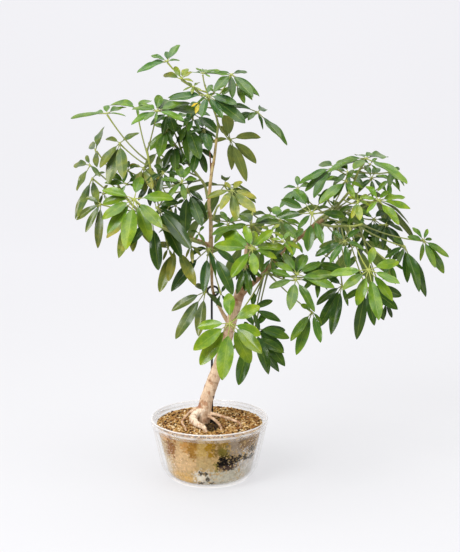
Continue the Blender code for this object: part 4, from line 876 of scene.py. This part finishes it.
def coating_finish():
    """Black coating on the wire, a little worn."""
    finish = Finish("black_coating", Base_Color=(0.005, 0.005, 0.006), Specular_IOR_Level=0.5)
    wear = finish.cloud(500.0)
    finish.set(Roughness=0.35 + wear * 0.2)
    finish.bump(wear, 0.15, 0.0003)
    return finish.material


def backdrop_finish():
    """Pale paper, lit partly from behind, so that shadows on it stay faint."""
    finish = Finish("studio_paper", Base_Color=(0.19, 0.19, 0.195), Roughness=0.9, Emission_Strength=1.0)
    back = finish.parts(finish.place())[1]
    glow = finish.mix(back.between(0.0, 2.6), (0.612, 0.610, 0.627), (0.708, 0.704, 0.732))
    finish.set(Emission_Color=glow)
    return finish.material


def piece(name, mesh, material, node):
    """Makes a mesh a piece that stands for a solid and moves with the root body."""
    mesh.materials.append(material)
    made = bpy.data.objects.new(name, mesh)
    bpy.context.scene.collection.objects.link(made)
    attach(made, "root")
    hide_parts(node)
    return made


def shaped(name, bm, material, node, smooth_under=60):
    """A piece from a bmesh in millimetres. Its faces turn outwards, and it keeps within the solids' box."""
    bmesh.ops.recalc_face_normals(bm, faces=bm.faces)
    bmesh.ops.scale(bm, vec=(MM, MM, MM), verts=bm.verts)
    for vert in bm.verts:
        vert.co = [min(max(value, low), high) for value, low, high in zip(vert.co, *SOLID_BOX)]
    mesh = bpy.data.meshes.new(name)
    bm.to_mesh(mesh)
    bm.free()
    mesh.shade_smooth()
    mesh.set_sharp_from_angle(angle=math.radians(smooth_under))
    return piece(name, mesh, material, node)


def layers(bm):
    """The two things that materials read on every point: a place on the piece, and a tint."""
    place = bm.verts.layers.float_vector.get("place") or bm.verts.layers.float_vector.new("place")
    tint = bm.verts.layers.float_color.get("tint") or bm.verts.layers.float_color.new("tint")
    return place, tint


def new_points(geometry):
    """The points among an operator's results."""
    return [g for g in geometry if isinstance(g, bmesh.types.BMVert)]


def arc(centre, radius, start, end, steps):
    angles = [math.radians(start + (end - start) * i / steps) for i in range(steps + 1)]
    return [(centre[0] + radius * math.cos(a), centre[1] + radius * math.sin(a)) for a in angles]


def along(points, share):
    """At a share of a path's length: the point, the path's direction, and how far along its points it is."""
    points = [Vector(p) for p in points]
    lengths = [(b - a).length for a, b in zip(points, points[1:])]
    left = share * sum(lengths)
    for i, length in enumerate(lengths):
        if left <= length or i == len(lengths) - 1:
            part = min(left / length, 1.0)
            return points[i].lerp(points[i + 1], part), (points[i + 1] - points[i]).normalized(), i + part
        left -= length


def radius_along(radii, place):
    i = min(int(place), len(radii) - 2)
    return radii[i] + (radii[i + 1] - radii[i]) * (place - i)


def rounded(points, radii, steps):
    """A smooth path through points, with its radii, a number of steps to each stretch."""
    points = [Vector(p) for p in points]
    ends = [points[0] * 2 - points[1]] + points + [points[-1] * 2 - points[-2]]
    path, sizes = [], []
    for i in range(len(points) - 1):
        a, b, c, d = ends[i:i + 4]
        for k in range(steps):
            t = k / steps
            bend = (b * 2 + (c - a) * t + (a * 2 - b * 5 + c * 4 - d) * t * t
                    + (b * 3 - a - c * 3 + d) * t ** 3) * 0.5
            path.append(bend)
            sizes.append(radii[i] + (radii[i + 1] - radii[i]) * t)
    return path + [points[-1]], sizes + [radii[-1]]


def tube(bm, path, radii, sides, colours, domed=True):
    """Extrudes a ring along a path. Each ring takes its radius, and a colour between the two given."""
    place, tint = layers(bm)
    first, last = colours
    run = (path[1] - path[0]).normalized()
    turn = Vector((0, 0, 1)).rotation_difference(run)
    ring = bmesh.ops.create_circle(bm, segments=sides, radius=1.0, cap_ends=True)["verts"]
    edges = list({e for v in ring for e in v.link_edges})
    spokes = [turn @ v.co for v in ring]
    length = 0.0
    for i, (point, radius) in enumerate(zip(path, radii)):
        if i:
            length += (point - path[i - 1]).length
            after = (path[min(i + 1, len(path) - 1)] - path[i - 1]).normalized()
            bend = run.rotation_difference(after)
            spokes = [bend @ spoke for spoke in spokes]
            run = after
            new = bmesh.ops.extrude_edge_only(bm, edges=edges)["geom"]
            verts = set(new_points(new))
            edges = [g for g in new if isinstance(g, bmesh.types.BMEdge) and verts.issuperset(g.verts)]
            ring = ordered(ring, verts)
        share = i / (len(path) - 1)
        for vert, spoke in zip(ring, spokes):
            vert.co = point + spoke * radius
            vert[place] = (0.0, length, 0.0)
            vert[tint] = (*first.lerp(last, share), 1.0)
    if domed:
        tip = new_points(bmesh.ops.extrude_edge_only(bm, edges=edges)["geom"])
        for vert in tip:
            vert.co = path[-1] + run * radii[-1] * 0.6
        bmesh.ops.remove_doubles(bm, verts=tip, dist=1e-4)
    else:
        bmesh.ops.contextual_create(bm, geom=edges)


def ordered(old, fresh):
    """The new ring's points in the order of the old ring's, which each joins by one edge."""
    return [next(e.other_vert(v) for e in v.link_edges if e.other_vert(v) in fresh) for v in old]


def shoot_stem(shoot):
    """The points of a shoot's green stem: it starts face to face with the wood, a gap away."""
    name, share = shoot["from"]
    points, radii = WOOD[name]
    foot, direction, place = along(points, share)
    if share < 1.0:
        away = (Vector(shoot["stem"][0]) - foot).normalized()
        slope = abs(away.dot(direction))
        reach = radius_along(radii, place) + GAP + shoot["radii"][0] * slope
        start = foot + away * reach / math.sqrt(1.0 - slope * slope)
    else:
        away = direction
        start = foot + away * GAP
    return [start, start + away * STEM_START] + [Vector(p) for p in shoot["stem"]]


def leaf_frame(facing):
    """Axes of a leaf's plane: to the right, up, and out of its upper side."""
    right = Vector((1, 0, 0))
    right = (right - facing * right.dot(facing)).normalized()
    return Matrix((right, facing.cross(right), facing)).transposed()


def lift(i):
    """How far a leaflet rises out of its leaf's plane, as a share of its reach: neighbours go up and down."""
    return LIFT if i % 2 else -LIFT


def fan_runs(spec, root, to_plane, draw):
    """The runs of a leaf given by its fan. Leaflets that point away from the stem are the longest."""
    away = to_plane @ (Vector(spec["hub"]) - root)
    largest = math.atan2(away.y, away.x)
    runs = []
    for i, angle in enumerate(map(math.radians, spec["fan"])):
        reach = spec["reach"] * (1 + SIDE_DIFFERENCE * math.cos(angle - largest)) * draw.uniform(0.93, 1.05)
        runs.append((Vector((math.cos(angle), math.sin(angle), lift(i))) * reach, spec["droop"] * reach))
    return runs


def seen_runs(spec, facing, to_plane):
    """The runs of a leaf given by its tips: each tip is put back until it is as far out of the leaf's plane
    as its lift and its sag bring it."""
    tilt = math.radians(SEEN_FROM_ABOVE)
    fall = Vector((0, 0, spec["sag"]))
    runs = []
    for i, (across, up) in enumerate(spec["tips"]):
        toward = facing.x * across + facing.z * (up / math.cos(tilt) + spec["sag"])
        raised = 0.0
        for _ in range(TIP_ROUNDS):
            back = (raised - toward) / (facing.y - facing.z * math.tan(tilt))
            tip = Vector((across, back, (up - math.sin(tilt) * back) / math.cos(tilt)))
            raised = lift(i) * (tip + fall).length
        runs.append((to_plane @ (tip + fall), spec["sag"]))
    return runs


def blade(bm, out, fall, width, start, colour, look, to_world):
    """One leaflet's blade: a grid shaped to a rounded outline, folded along its rib, waved, and thickened."""
    place, tint = layers(bm)
    grid = bmesh.ops.create_grid(bm, x_segments=ACROSS_STEPS, y_segments=ALONG_STEPS, size=1.0)["verts"]
    faces = list({f for v in grid for f in v.link_faces})
    fold = FOLD + look.uniform(*FOLD_CHANGES)
    twist = look.uniform(*TWISTS)
    wave, phase = look.uniform(*WAVES), look.uniform(0, math.tau)
    curl = look.uniform(*CURLS)
    tip_power = look.uniform(*TIP_POWERS)
    reach = out.length
    thick = to_world.to_3x3() @ Vector((0, 0, -BLADE_THICKNESS))
    for vert in grid:
        across, row = vert.co.x, (vert.co.y + 1) / 2
        t = 1 - (1 - row) ** ROW_CROWDING
        v = start + (1 - start) * t
        outline = max(t, 0.004) ** BASE_POWER * max(1 - t, 0.0012) ** tip_power / OUTLINE_PEAK
        run = (out + fall * 2 * v).normalized()
        side = Vector((0, 0, 1)).cross(run).normalized()
        top = run.cross(side)
        cos, sin = math.cos(twist * t), math.sin(twist * t)
        side, top = side * cos + top * sin, top * cos - side * sin
        half = width * reach * outline
        ripple = math.sin(WAVE_RATE * t + phase + (WAVE_SIDES if across > 0 else 0.0))
        ripple *= wave * reach * across * across * math.sin(math.pi * min(t * 1.1, 1.0))
        rise = fold * abs(across) ** 1.4 * half - curl * reach * t * t + ripple
        vert.co = to_world @ (out * v + fall * v * v + side * across * half * math.cos(fold) + top * rise)
        vert[place] = (across, t, 0.0)
        vert[tint] = (*colour, 1.0)
    for vert in new_points(bmesh.ops.extrude_face_region(bm, geom=faces)["geom"]):
        vert.co += thick * (1 - abs(vert[place].x) ** 4 * 0.6)
        vert[place] = (vert[place].x, vert[place].y, 1.0)


def leaf_stalk(root, hub, facing):
    """The path of a leaf's stalk, which comes up to its hub from below."""
    bend = root.lerp(hub, STALK_TURN) - facing * (hub - root).length * STALK_BEND
    top = hub - facing * HUB_DEPTH
    shares = [i / (len(STALK_RADII) - 1) for i in range(len(STALK_RADII))]
    return [root * (1 - t) ** 2 + bend * 2 * t * (1 - t) + top * t * t for t in shares]


def whole_leaf(leaves, stalks, spec, root, draw, look):
    """An umbrella leaf: blades in one bmesh, and the leaf's stalk, hub and leaflet stalks in another."""
    facing = Vector(spec["facing"]).normalized()
    axes = leaf_frame(facing)
    to_plane = axes.transposed()
    hub = Vector(spec["hub"])
    to_world = axes.to_4x4()
    to_world.translation = hub
    runs = seen_runs(spec, facing, to_plane) if "tips" in spec else fan_runs(spec, root, to_plane, draw)
    runs = sorted(runs, key=lambda pair: math.atan2(pair[0].y, pair[0].x))
    down = to_plane @ Vector((0, 0, -1))
    stalk_tint = (STALK_TINT if spec["tint"] in FRESH_TINTS else OLD_STALK_TINT) * look.uniform(0.85, 1.15)
    tube(stalks, leaf_stalk(root, hub, facing), STALK_RADII, 8, (stalk_tint, STALK_TINT), domed=False)
    base = Vector(TINTS[spec["tint"]]) * look.uniform(0.86, 1.14)
    bare = spec.get("bare", look.uniform(*STALK_ENDS))
    for out, sag in runs:
        reach = out.length
        fall = down * sag
        start = bare if reach > SMALL_REACH else SMALL_STALK_END
        shares = [start * share for share in LEAFLET_STALK_SHARES]
        below = Vector((0, 0, -LEAFLET_STALK_DEPTH))
        path = [to_world @ (out * v + fall * v * v + below) for v in shares]
        tube(stalks, path, LEAFLET_STALK_RADII, 6, (STALK_TINT, stalk_tint))
        shade = look.uniform(0.84, 1.16)
        warm = look.uniform(-0.08, 0.10)
        colour = (base.x * (shade + warm), base.y * shade, base.z * shade)
        width = HALF_WIDTH * look.uniform(0.93, 1.08) * min(1.0, LONG_REACH / reach) ** 0.5 * spec["wide"]
        blade(leaves, out, fall, width, start, colour, look, to_world)


def leafy_shoot(name, leaf_material, stalk_material):
    """A shoot's fine pieces: its blades, and its stem with the stalks."""
    shoot = SHOOTS[name]
    draw = random.Random(f"{SEED} {name}")
    look = random.Random(f"look {name}")
    leaves, stalks = bmesh.new(), bmesh.new()
    stem = shoot_stem(shoot)
    thick, thin = shoot["radii"]
    radii = [thick + (thin - thick) * i / (len(stem) - 1) for i in range(len(stem))]
    path, sizes = rounded(stem, radii, 5)
    sizes = [size * (1.0 + 0.10 * math.sin(i * 1.9)) for i, size in enumerate(sizes)]
    tube(stalks, path, sizes, 12, (OLD_STALK_TINT, STALK_TINT))
    spacing = (LAST_LEAF - FIRST_LEAF) / max(len(shoot["leaves"]) - 1, 1)
    shares = [LAST_LEAF - spacing * i for i in range(len(shoot["leaves"]))]
    shares += [LAST_LEAF - EXTRA_SPACING * (i + 0.5) for i in range(len(shoot["extras"]))]
    for spec, share in zip(shoot["leaves"][::-1] + shoot["extras"], shares):
        spec = {"wide": shoot["wide"], **spec}
        whole_leaf(leaves, stalks, spec, along(stem, share)[0], draw, look)
    shaped(name + "_leaves", leaves, leaf_material, name)
    shaped(name + "_stalks", stalks, stalk_material, name)


def wood(material):
    """Trunk, branches and surface roots: tubes joined by a remesh, then roughened and tinted by path."""
    bm = bmesh.new()
    samples = []
    for name, (points, radii) in {**WOOD, **ROOTS}.items():
        path, sizes = rounded(points, radii, 8)
        tints = [Vector(tint) for tint in WOOD_TINTS.get(name, WOOD_TINTS["root"])]
        tube(bm, path, sizes, 20, tints)
        length = 0.0
        for i, (point, size) in enumerate(zip(path, sizes)):
            length += (point - path[i - 1]).length if i else 0.0
            ringed = length if name in WOOD else 0.0
            samples.append((point, size, ringed, tints[0].lerp(tints[1], i / (len(path) - 1))))
    made = shaped("bark_and_roots", bm, material, "trunk_and_roots")
    remesh = made.modifiers.new("Join", "REMESH")
    remesh.mode = "VOXEL"
    remesh.voxel_size = BARK_VOXEL * MM
    graph = bpy.context.evaluated_depsgraph_get()
    joined = bpy.data.meshes.new_from_object(made.evaluated_get(graph))
    made.modifiers.clear()
    tubes, made.data = made.data, joined
    bpy.data.meshes.remove(tubes)
    roughen(joined, samples)
    joined.shade_smooth()


def roughen(mesh, samples):
    """Knots, lines and rings on the bark. Each point takes its size and tint from the nearest path sample."""
    tree = kdtree.KDTree(len(samples))
    for i, sample in enumerate(samples):
        tree.insert(sample[0], i)
    tree.balance()
    bm = bmesh.new()
    bm.from_mesh(mesh)
    bmesh.ops.smooth_vert(bm, verts=bm.verts, factor=0.5, use_axis_x=True, use_axis_y=True, use_axis_z=True)
    place, tint = layers(bm)
    for vert in bm.verts:
        spot = vert.co / MM
        _, size, length, colour = samples[tree.find(spot)[1]]
        knots, lines = (stretched_noise(spot, *scales) for scales in (KNOT_SCALES, LINE_SCALES))
        rings = max(math.sin(length * RING_RATE + RING_WANDER * knots) - RING_EDGE, 0.0)
        vert.co += vert.normal * (knots * KNOT_DEPTH + lines * LINE_DEPTH - rings * RING_DEPTH) * size * MM
        vert[place] = (0.0, length, 0.0)
        vert[tint] = (*colour, 1.0)
    bm.to_mesh(mesh)
    bm.free()


def stretched_noise(spot, across, up):
    return noise.noise(Vector((spot.x * across, spot.y * across, spot.z * up)))


def stake(material):
    """The coated wire stake, with its eye."""
    tilt = Matrix.Rotation(math.radians(EYE_TILT), 3, "X")
    angles = [math.radians(-90 + EYE_TURN * i / EYE_STEPS) for i in range(EYE_STEPS + 1)]
    eye = [Vector(EYE_CENTRE) + tilt @ Vector((math.cos(a), math.sin(a), 0)) * EYE_RADIUS for a in angles]
    neck = Vector((*STAKE_PLACE, eye[0].z - EYE_NECK))
    path = [Vector((*STAKE_PLACE, STAKE_FOOT)), neck, neck.lerp(eye[0], 0.6)] + eye
    bm = bmesh.new()
    black = Vector((0.01, 0.01, 0.01))
    tube(bm, path, [STAKE_RADIUS] * len(path), 12, (black, black))
    shaped("coated_stake", bm, material, "wire_stake")


def turned(name, profile, material, node):
    """Spins a closed profile of (radius, height) points about the vertical axis."""
    bm = bmesh.new()
    line = [bm.verts.new((radius, 0, height)) for radius, height in profile]
    for pair in zip(line, line[1:]):
        bm.edges.new(pair)
    geometry = list(bm.verts) + list(bm.edges)
    bmesh.ops.spin(bm, geom=geometry, cent=(0, 0, 0), axis=(0, 0, 1), angle=math.tau,
                   steps=TURNED_STEPS, use_merge=True)
    bmesh.ops.remove_doubles(bm, verts=bm.verts, dist=1e-3)
    loose = [edge for edge in bm.edges if not edge.link_faces]
    bmesh.ops.delete(bm, geom=loose, context="EDGES")
    shaped(name, bm, material, node, 40)


def bowl(material):
    """The clear bowl: a heavy floor, a round corner, a flared side and a thicker band below the lip."""
    centre = (BOWL_BASE_RADIUS, BOWL_CORNER)
    band = BOWL_HEIGHT - BAND_HEIGHT
    wall_top = BOWL_HEIGHT - BOWL_WALL
    below_band = BOWL_RIM_RADIUS - BAND_STEP
    outer = [(BOWL_RIM_RADIUS, wall_top), (BOWL_RIM_RADIUS - BAND_TAPER, band + BAND_SLOPE[0])]
    outer += [(below_band + BAND_TAPER, band + BAND_SLOPE[1]), (below_band, band)]
    corner = arc(centre, BOWL_CORNER, 0, -90, 12)
    inside = arc(centre, BOWL_CORNER - BOWL_WALL, 0, -90, 12)
    for line, shares in ((corner, CORNER_SHARES), (inside, CORNER_SHARES[:2])):
        for i, share in enumerate(shares):
            line[i] = (line[i][0] + BOWL_CORNER_SPREAD * share, line[i][1])
    inner = [(below_band - BOWL_WALL, band), (BOWL_RIM_RADIUS - BOWL_WALL, wall_top)]
    half = BOWL_WALL / 2
    round_lip = arc((BOWL_RIM_RADIUS - half, BOWL_HEIGHT - half), half, 180, 0, 10)
    profile = outer + corner + [(0.0, 0.0), (0.0, BOWL_WALL)] + inside[::-1] + inner + round_lip
    turned("bowl_glass_body", profile + [profile[0]], material, "glass_bowl")


def liner(material):
    """The thin clear liner, with its own round corner."""
    floor = BOWL_WALL + GAP
    centre = (LINER_BASE_RADIUS, floor + LINER_CORNER)
    outside = [(LINER_TOP_RADIUS, LINER_TOP)] + arc(centre, LINER_CORNER, 0, -90, 8)
    inside = arc(centre, LINER_CORNER - LINER_WALL, -90, 0, 8) + [(LINER_TOP_RADIUS - LINER_WALL, LINER_TOP)]
    profile = outside + [(0.0, floor), (0.0, floor + LINER_WALL)] + inside
    turned("liner_body", profile + [profile[0]], material, "clear_liner")


def liner_radius(height):
    """The liner's outer radius on its straight flared side."""
    low = LINER_BASE_RADIUS + LINER_CORNER
    share = (height - BOWL_WALL - LINER_CORNER) / (LINER_TOP - BOWL_WALL - LINER_CORNER)
    return low + (LINER_TOP_RADIUS - low) * share


def fill_profile():
    """The fill's outline, a gap inside the liner, from the centre of its top to the centre of its floor."""
    floor = BOWL_WALL + LINER_WALL + 2 * GAP
    corner_radius = LINER_CORNER - LINER_WALL - GAP
    corner = arc((LINER_BASE_RADIUS, floor + corner_radius), corner_radius, 0, -90, 8)
    top = GRAVEL_TOP - FILL_DEPTH
    edge = liner_radius(top) - LINER_WALL - 2 * GAP
    wide, low = corner[0]
    steps = FILL_SIDE_STEPS
    side = [(edge + (wide - edge) * i / steps, top + (low - top) * i / steps) for i in range(steps)]
    rings = [(edge * i / FILL_TOP_STEPS, top) for i in range(FILL_TOP_STEPS)]
    return rings + side + corner + [(0.0, floor)]


def grain_shape(draw):
    """One grain: a coarse ball with its points pushed in and out."""
    bm = bmesh.new()
    ball = bmesh.ops.create_icosphere(bm, subdivisions=1, radius=1.0)["verts"]
    for vert in ball:
        vert.co *= draw.uniform(0.78, 1.12)
    points = np.array([vert.co for vert in bm.verts])
    faces = np.array([[vert.index for vert in face.verts] for face in bm.faces])
    bm.free()
    return points, faces


def strewn(name, spots, material):
    """Copies of a few modelled grains: each spot gives a place, a size, a flattening and a tint."""
    draw = random.Random(SEED)
    shapes = [grain_shape(draw) for _ in range(GRAIN_SHAPES)]
    points, faces, tints = [], [], []
    total = 0
    for i, (place, size, flat, colour) in enumerate(spots):
        shape, sides = shapes[i % GRAIN_SHAPES]
        spin = Matrix.Rotation(draw.uniform(0, math.tau), 3, "Z")
        turn = np.array(spin @ Matrix.Rotation(draw.uniform(-GRAIN_TILT, GRAIN_TILT), 3, "X"))
        points.append((shape * (1.0, 0.8, flat)) @ turn.T * size + np.array(place))
        faces.append(sides + total)
        tints.append(np.tile((*colour, 1.0), (len(shape), 1)))
        total += len(shape)
    mesh = bpy.data.meshes.new(name)
    mesh.from_pydata(np.concatenate(points) * MM, [], np.concatenate(faces).tolist())
    layer = mesh.attributes.new("tint", "FLOAT_COLOR", "POINT")
    layer.data.foreach_set("color", np.concatenate(tints).ravel())
    piece(name, mesh, material, "gravel")


def gravel(fill_material, grain_material, side_material):
    """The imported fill, a bed of loose grains over it, and grains pressed against the liner."""
    turned("gravel_fill_body", fill_profile(), fill_material, "gravel")
    draw = random.Random(SEED + 1)
    spots = []
    for i in range(BED_GRAINS):
        radius = BED_RADIUS * math.sqrt((i + 0.5) / BED_GRAINS)
        angle = i * SPIRAL_TURN
        x, y = radius * math.cos(angle), radius * math.sin(angle)
        size = draw.uniform(*BED_GRAIN_SIZES)
        height = GRAVEL_TOP - BED_DEPTH + draw.uniform(*BED_UNEVEN)
        height += BED_SWELL * noise.noise(Vector((x * BED_SWELL_SCALE, y * BED_SWELL_SCALE, 0)))
        if radius > BED_LOW_EDGE:
            height -= BED_EDGE_DROP
        spots.append(((x, y, height), size, draw.uniform(0.6, 0.9), draw.choice(GRAIN_TINTS)))
    strewn("gravel_bed", spots, grain_material)
    spots = []
    low = BOWL_WALL + LINER_CORNER + SIDE_MARGINS[0]
    high = GRAVEL_TOP - SIDE_MARGINS[1]
    for _ in range(SIDE_GRAINS):
        height = low + (high - low) * draw.random()
        angle = draw.uniform(0, math.tau)
        size = draw.uniform(*SIDE_GRAIN_SIZES)
        radius = liner_radius(height) - LINER_WALL - 3 * GAP - size * SIDE_SINK
        place = (radius * math.cos(angle), radius * math.sin(angle), height)
        spots.append((place, size, draw.uniform(0.7, 0.95), draw.choice(GRAIN_TINTS)))
    strewn("gravel_side", spots, side_material)


def backdrop():
    """The seamless pale paper."""
    bm = bmesh.new()
    sweep = [(PAPER_FRONT, 0.0)] + arc((SWEEP_START, SWEEP_BEND), SWEEP_BEND, -90, 0, 12)
    sweep += [(SWEEP_START + SWEEP_BEND, PAPER_TOP)]
    line = [bm.verts.new((-PAPER_WIDTH / 2, y, z - 0.0005)) for y, z in sweep]
    edges = [bm.edges.new(pair) for pair in zip(line, line[1:])]
    far = new_points(bmesh.ops.extrude_edge_only(bm, edges=edges)["geom"])
    bmesh.ops.translate(bm, vec=(PAPER_WIDTH, 0, 0), verts=far)
    mesh = bpy.data.meshes.new("studio_sweep")
    bm.to_mesh(mesh)
    bm.free()
    mesh.materials.append(backdrop_finish())
    mesh.shade_smooth()
    paper = bpy.data.objects.new("studio_sweep", mesh)
    bpy.context.scene.collection.objects.link(paper)


def studio():
    """Soft light from above, the left and the right, and the camera."""
    world = bpy.data.worlds.new("studio_air")
    world.use_nodes = True
    air = world.node_tree.nodes["Background"].inputs
    air["Color"].default_value = AIR_COLOUR
    air["Strength"].default_value = AIR_STRENGTH
    scene = bpy.context.scene
    scene.world = world
    scene.view_settings.view_transform = "Standard"
    for name, (place, size, power) in LAMPS.items():
        lamp = bpy.data.lights.new(name, "AREA")
        lamp.size = size
        lamp.energy = power
        holder = bpy.data.objects.new(name, lamp)
        holder.location = place
        holder.rotation_euler = (LAMPS_LOOK_AT - Vector(place)).to_track_quat("-Z", "Y").to_euler()
        scene.collection.objects.link(holder)
    lens = bpy.data.cameras.new("photo_camera")
    lens.lens = CAMERA_LENS
    lens.sensor_fit = "VERTICAL"
    lens.sensor_height = CAMERA_SENSOR
    camera = bpy.data.objects.new("photo_camera", lens)
    camera.location = CAMERA_PLACE
    camera.rotation_euler = (math.radians(90 - CAMERA_PITCH), 0, 0)
    scene.collection.objects.link(camera)
    bpy.context.scene.camera = camera


def main():
    backdrop()
    studio()
    leaf_material, stalk_material = leaf_finish(), stalk_finish()
    for name in SHOOTS:
        leafy_shoot(name, leaf_material, stalk_material)
    wood(bark_finish())
    stake(coating_finish())
    bowl(glass_finish())
    liner(liner_finish())
    gravel(fill_finish(), grain_finish(), side_grain_finish())


main()
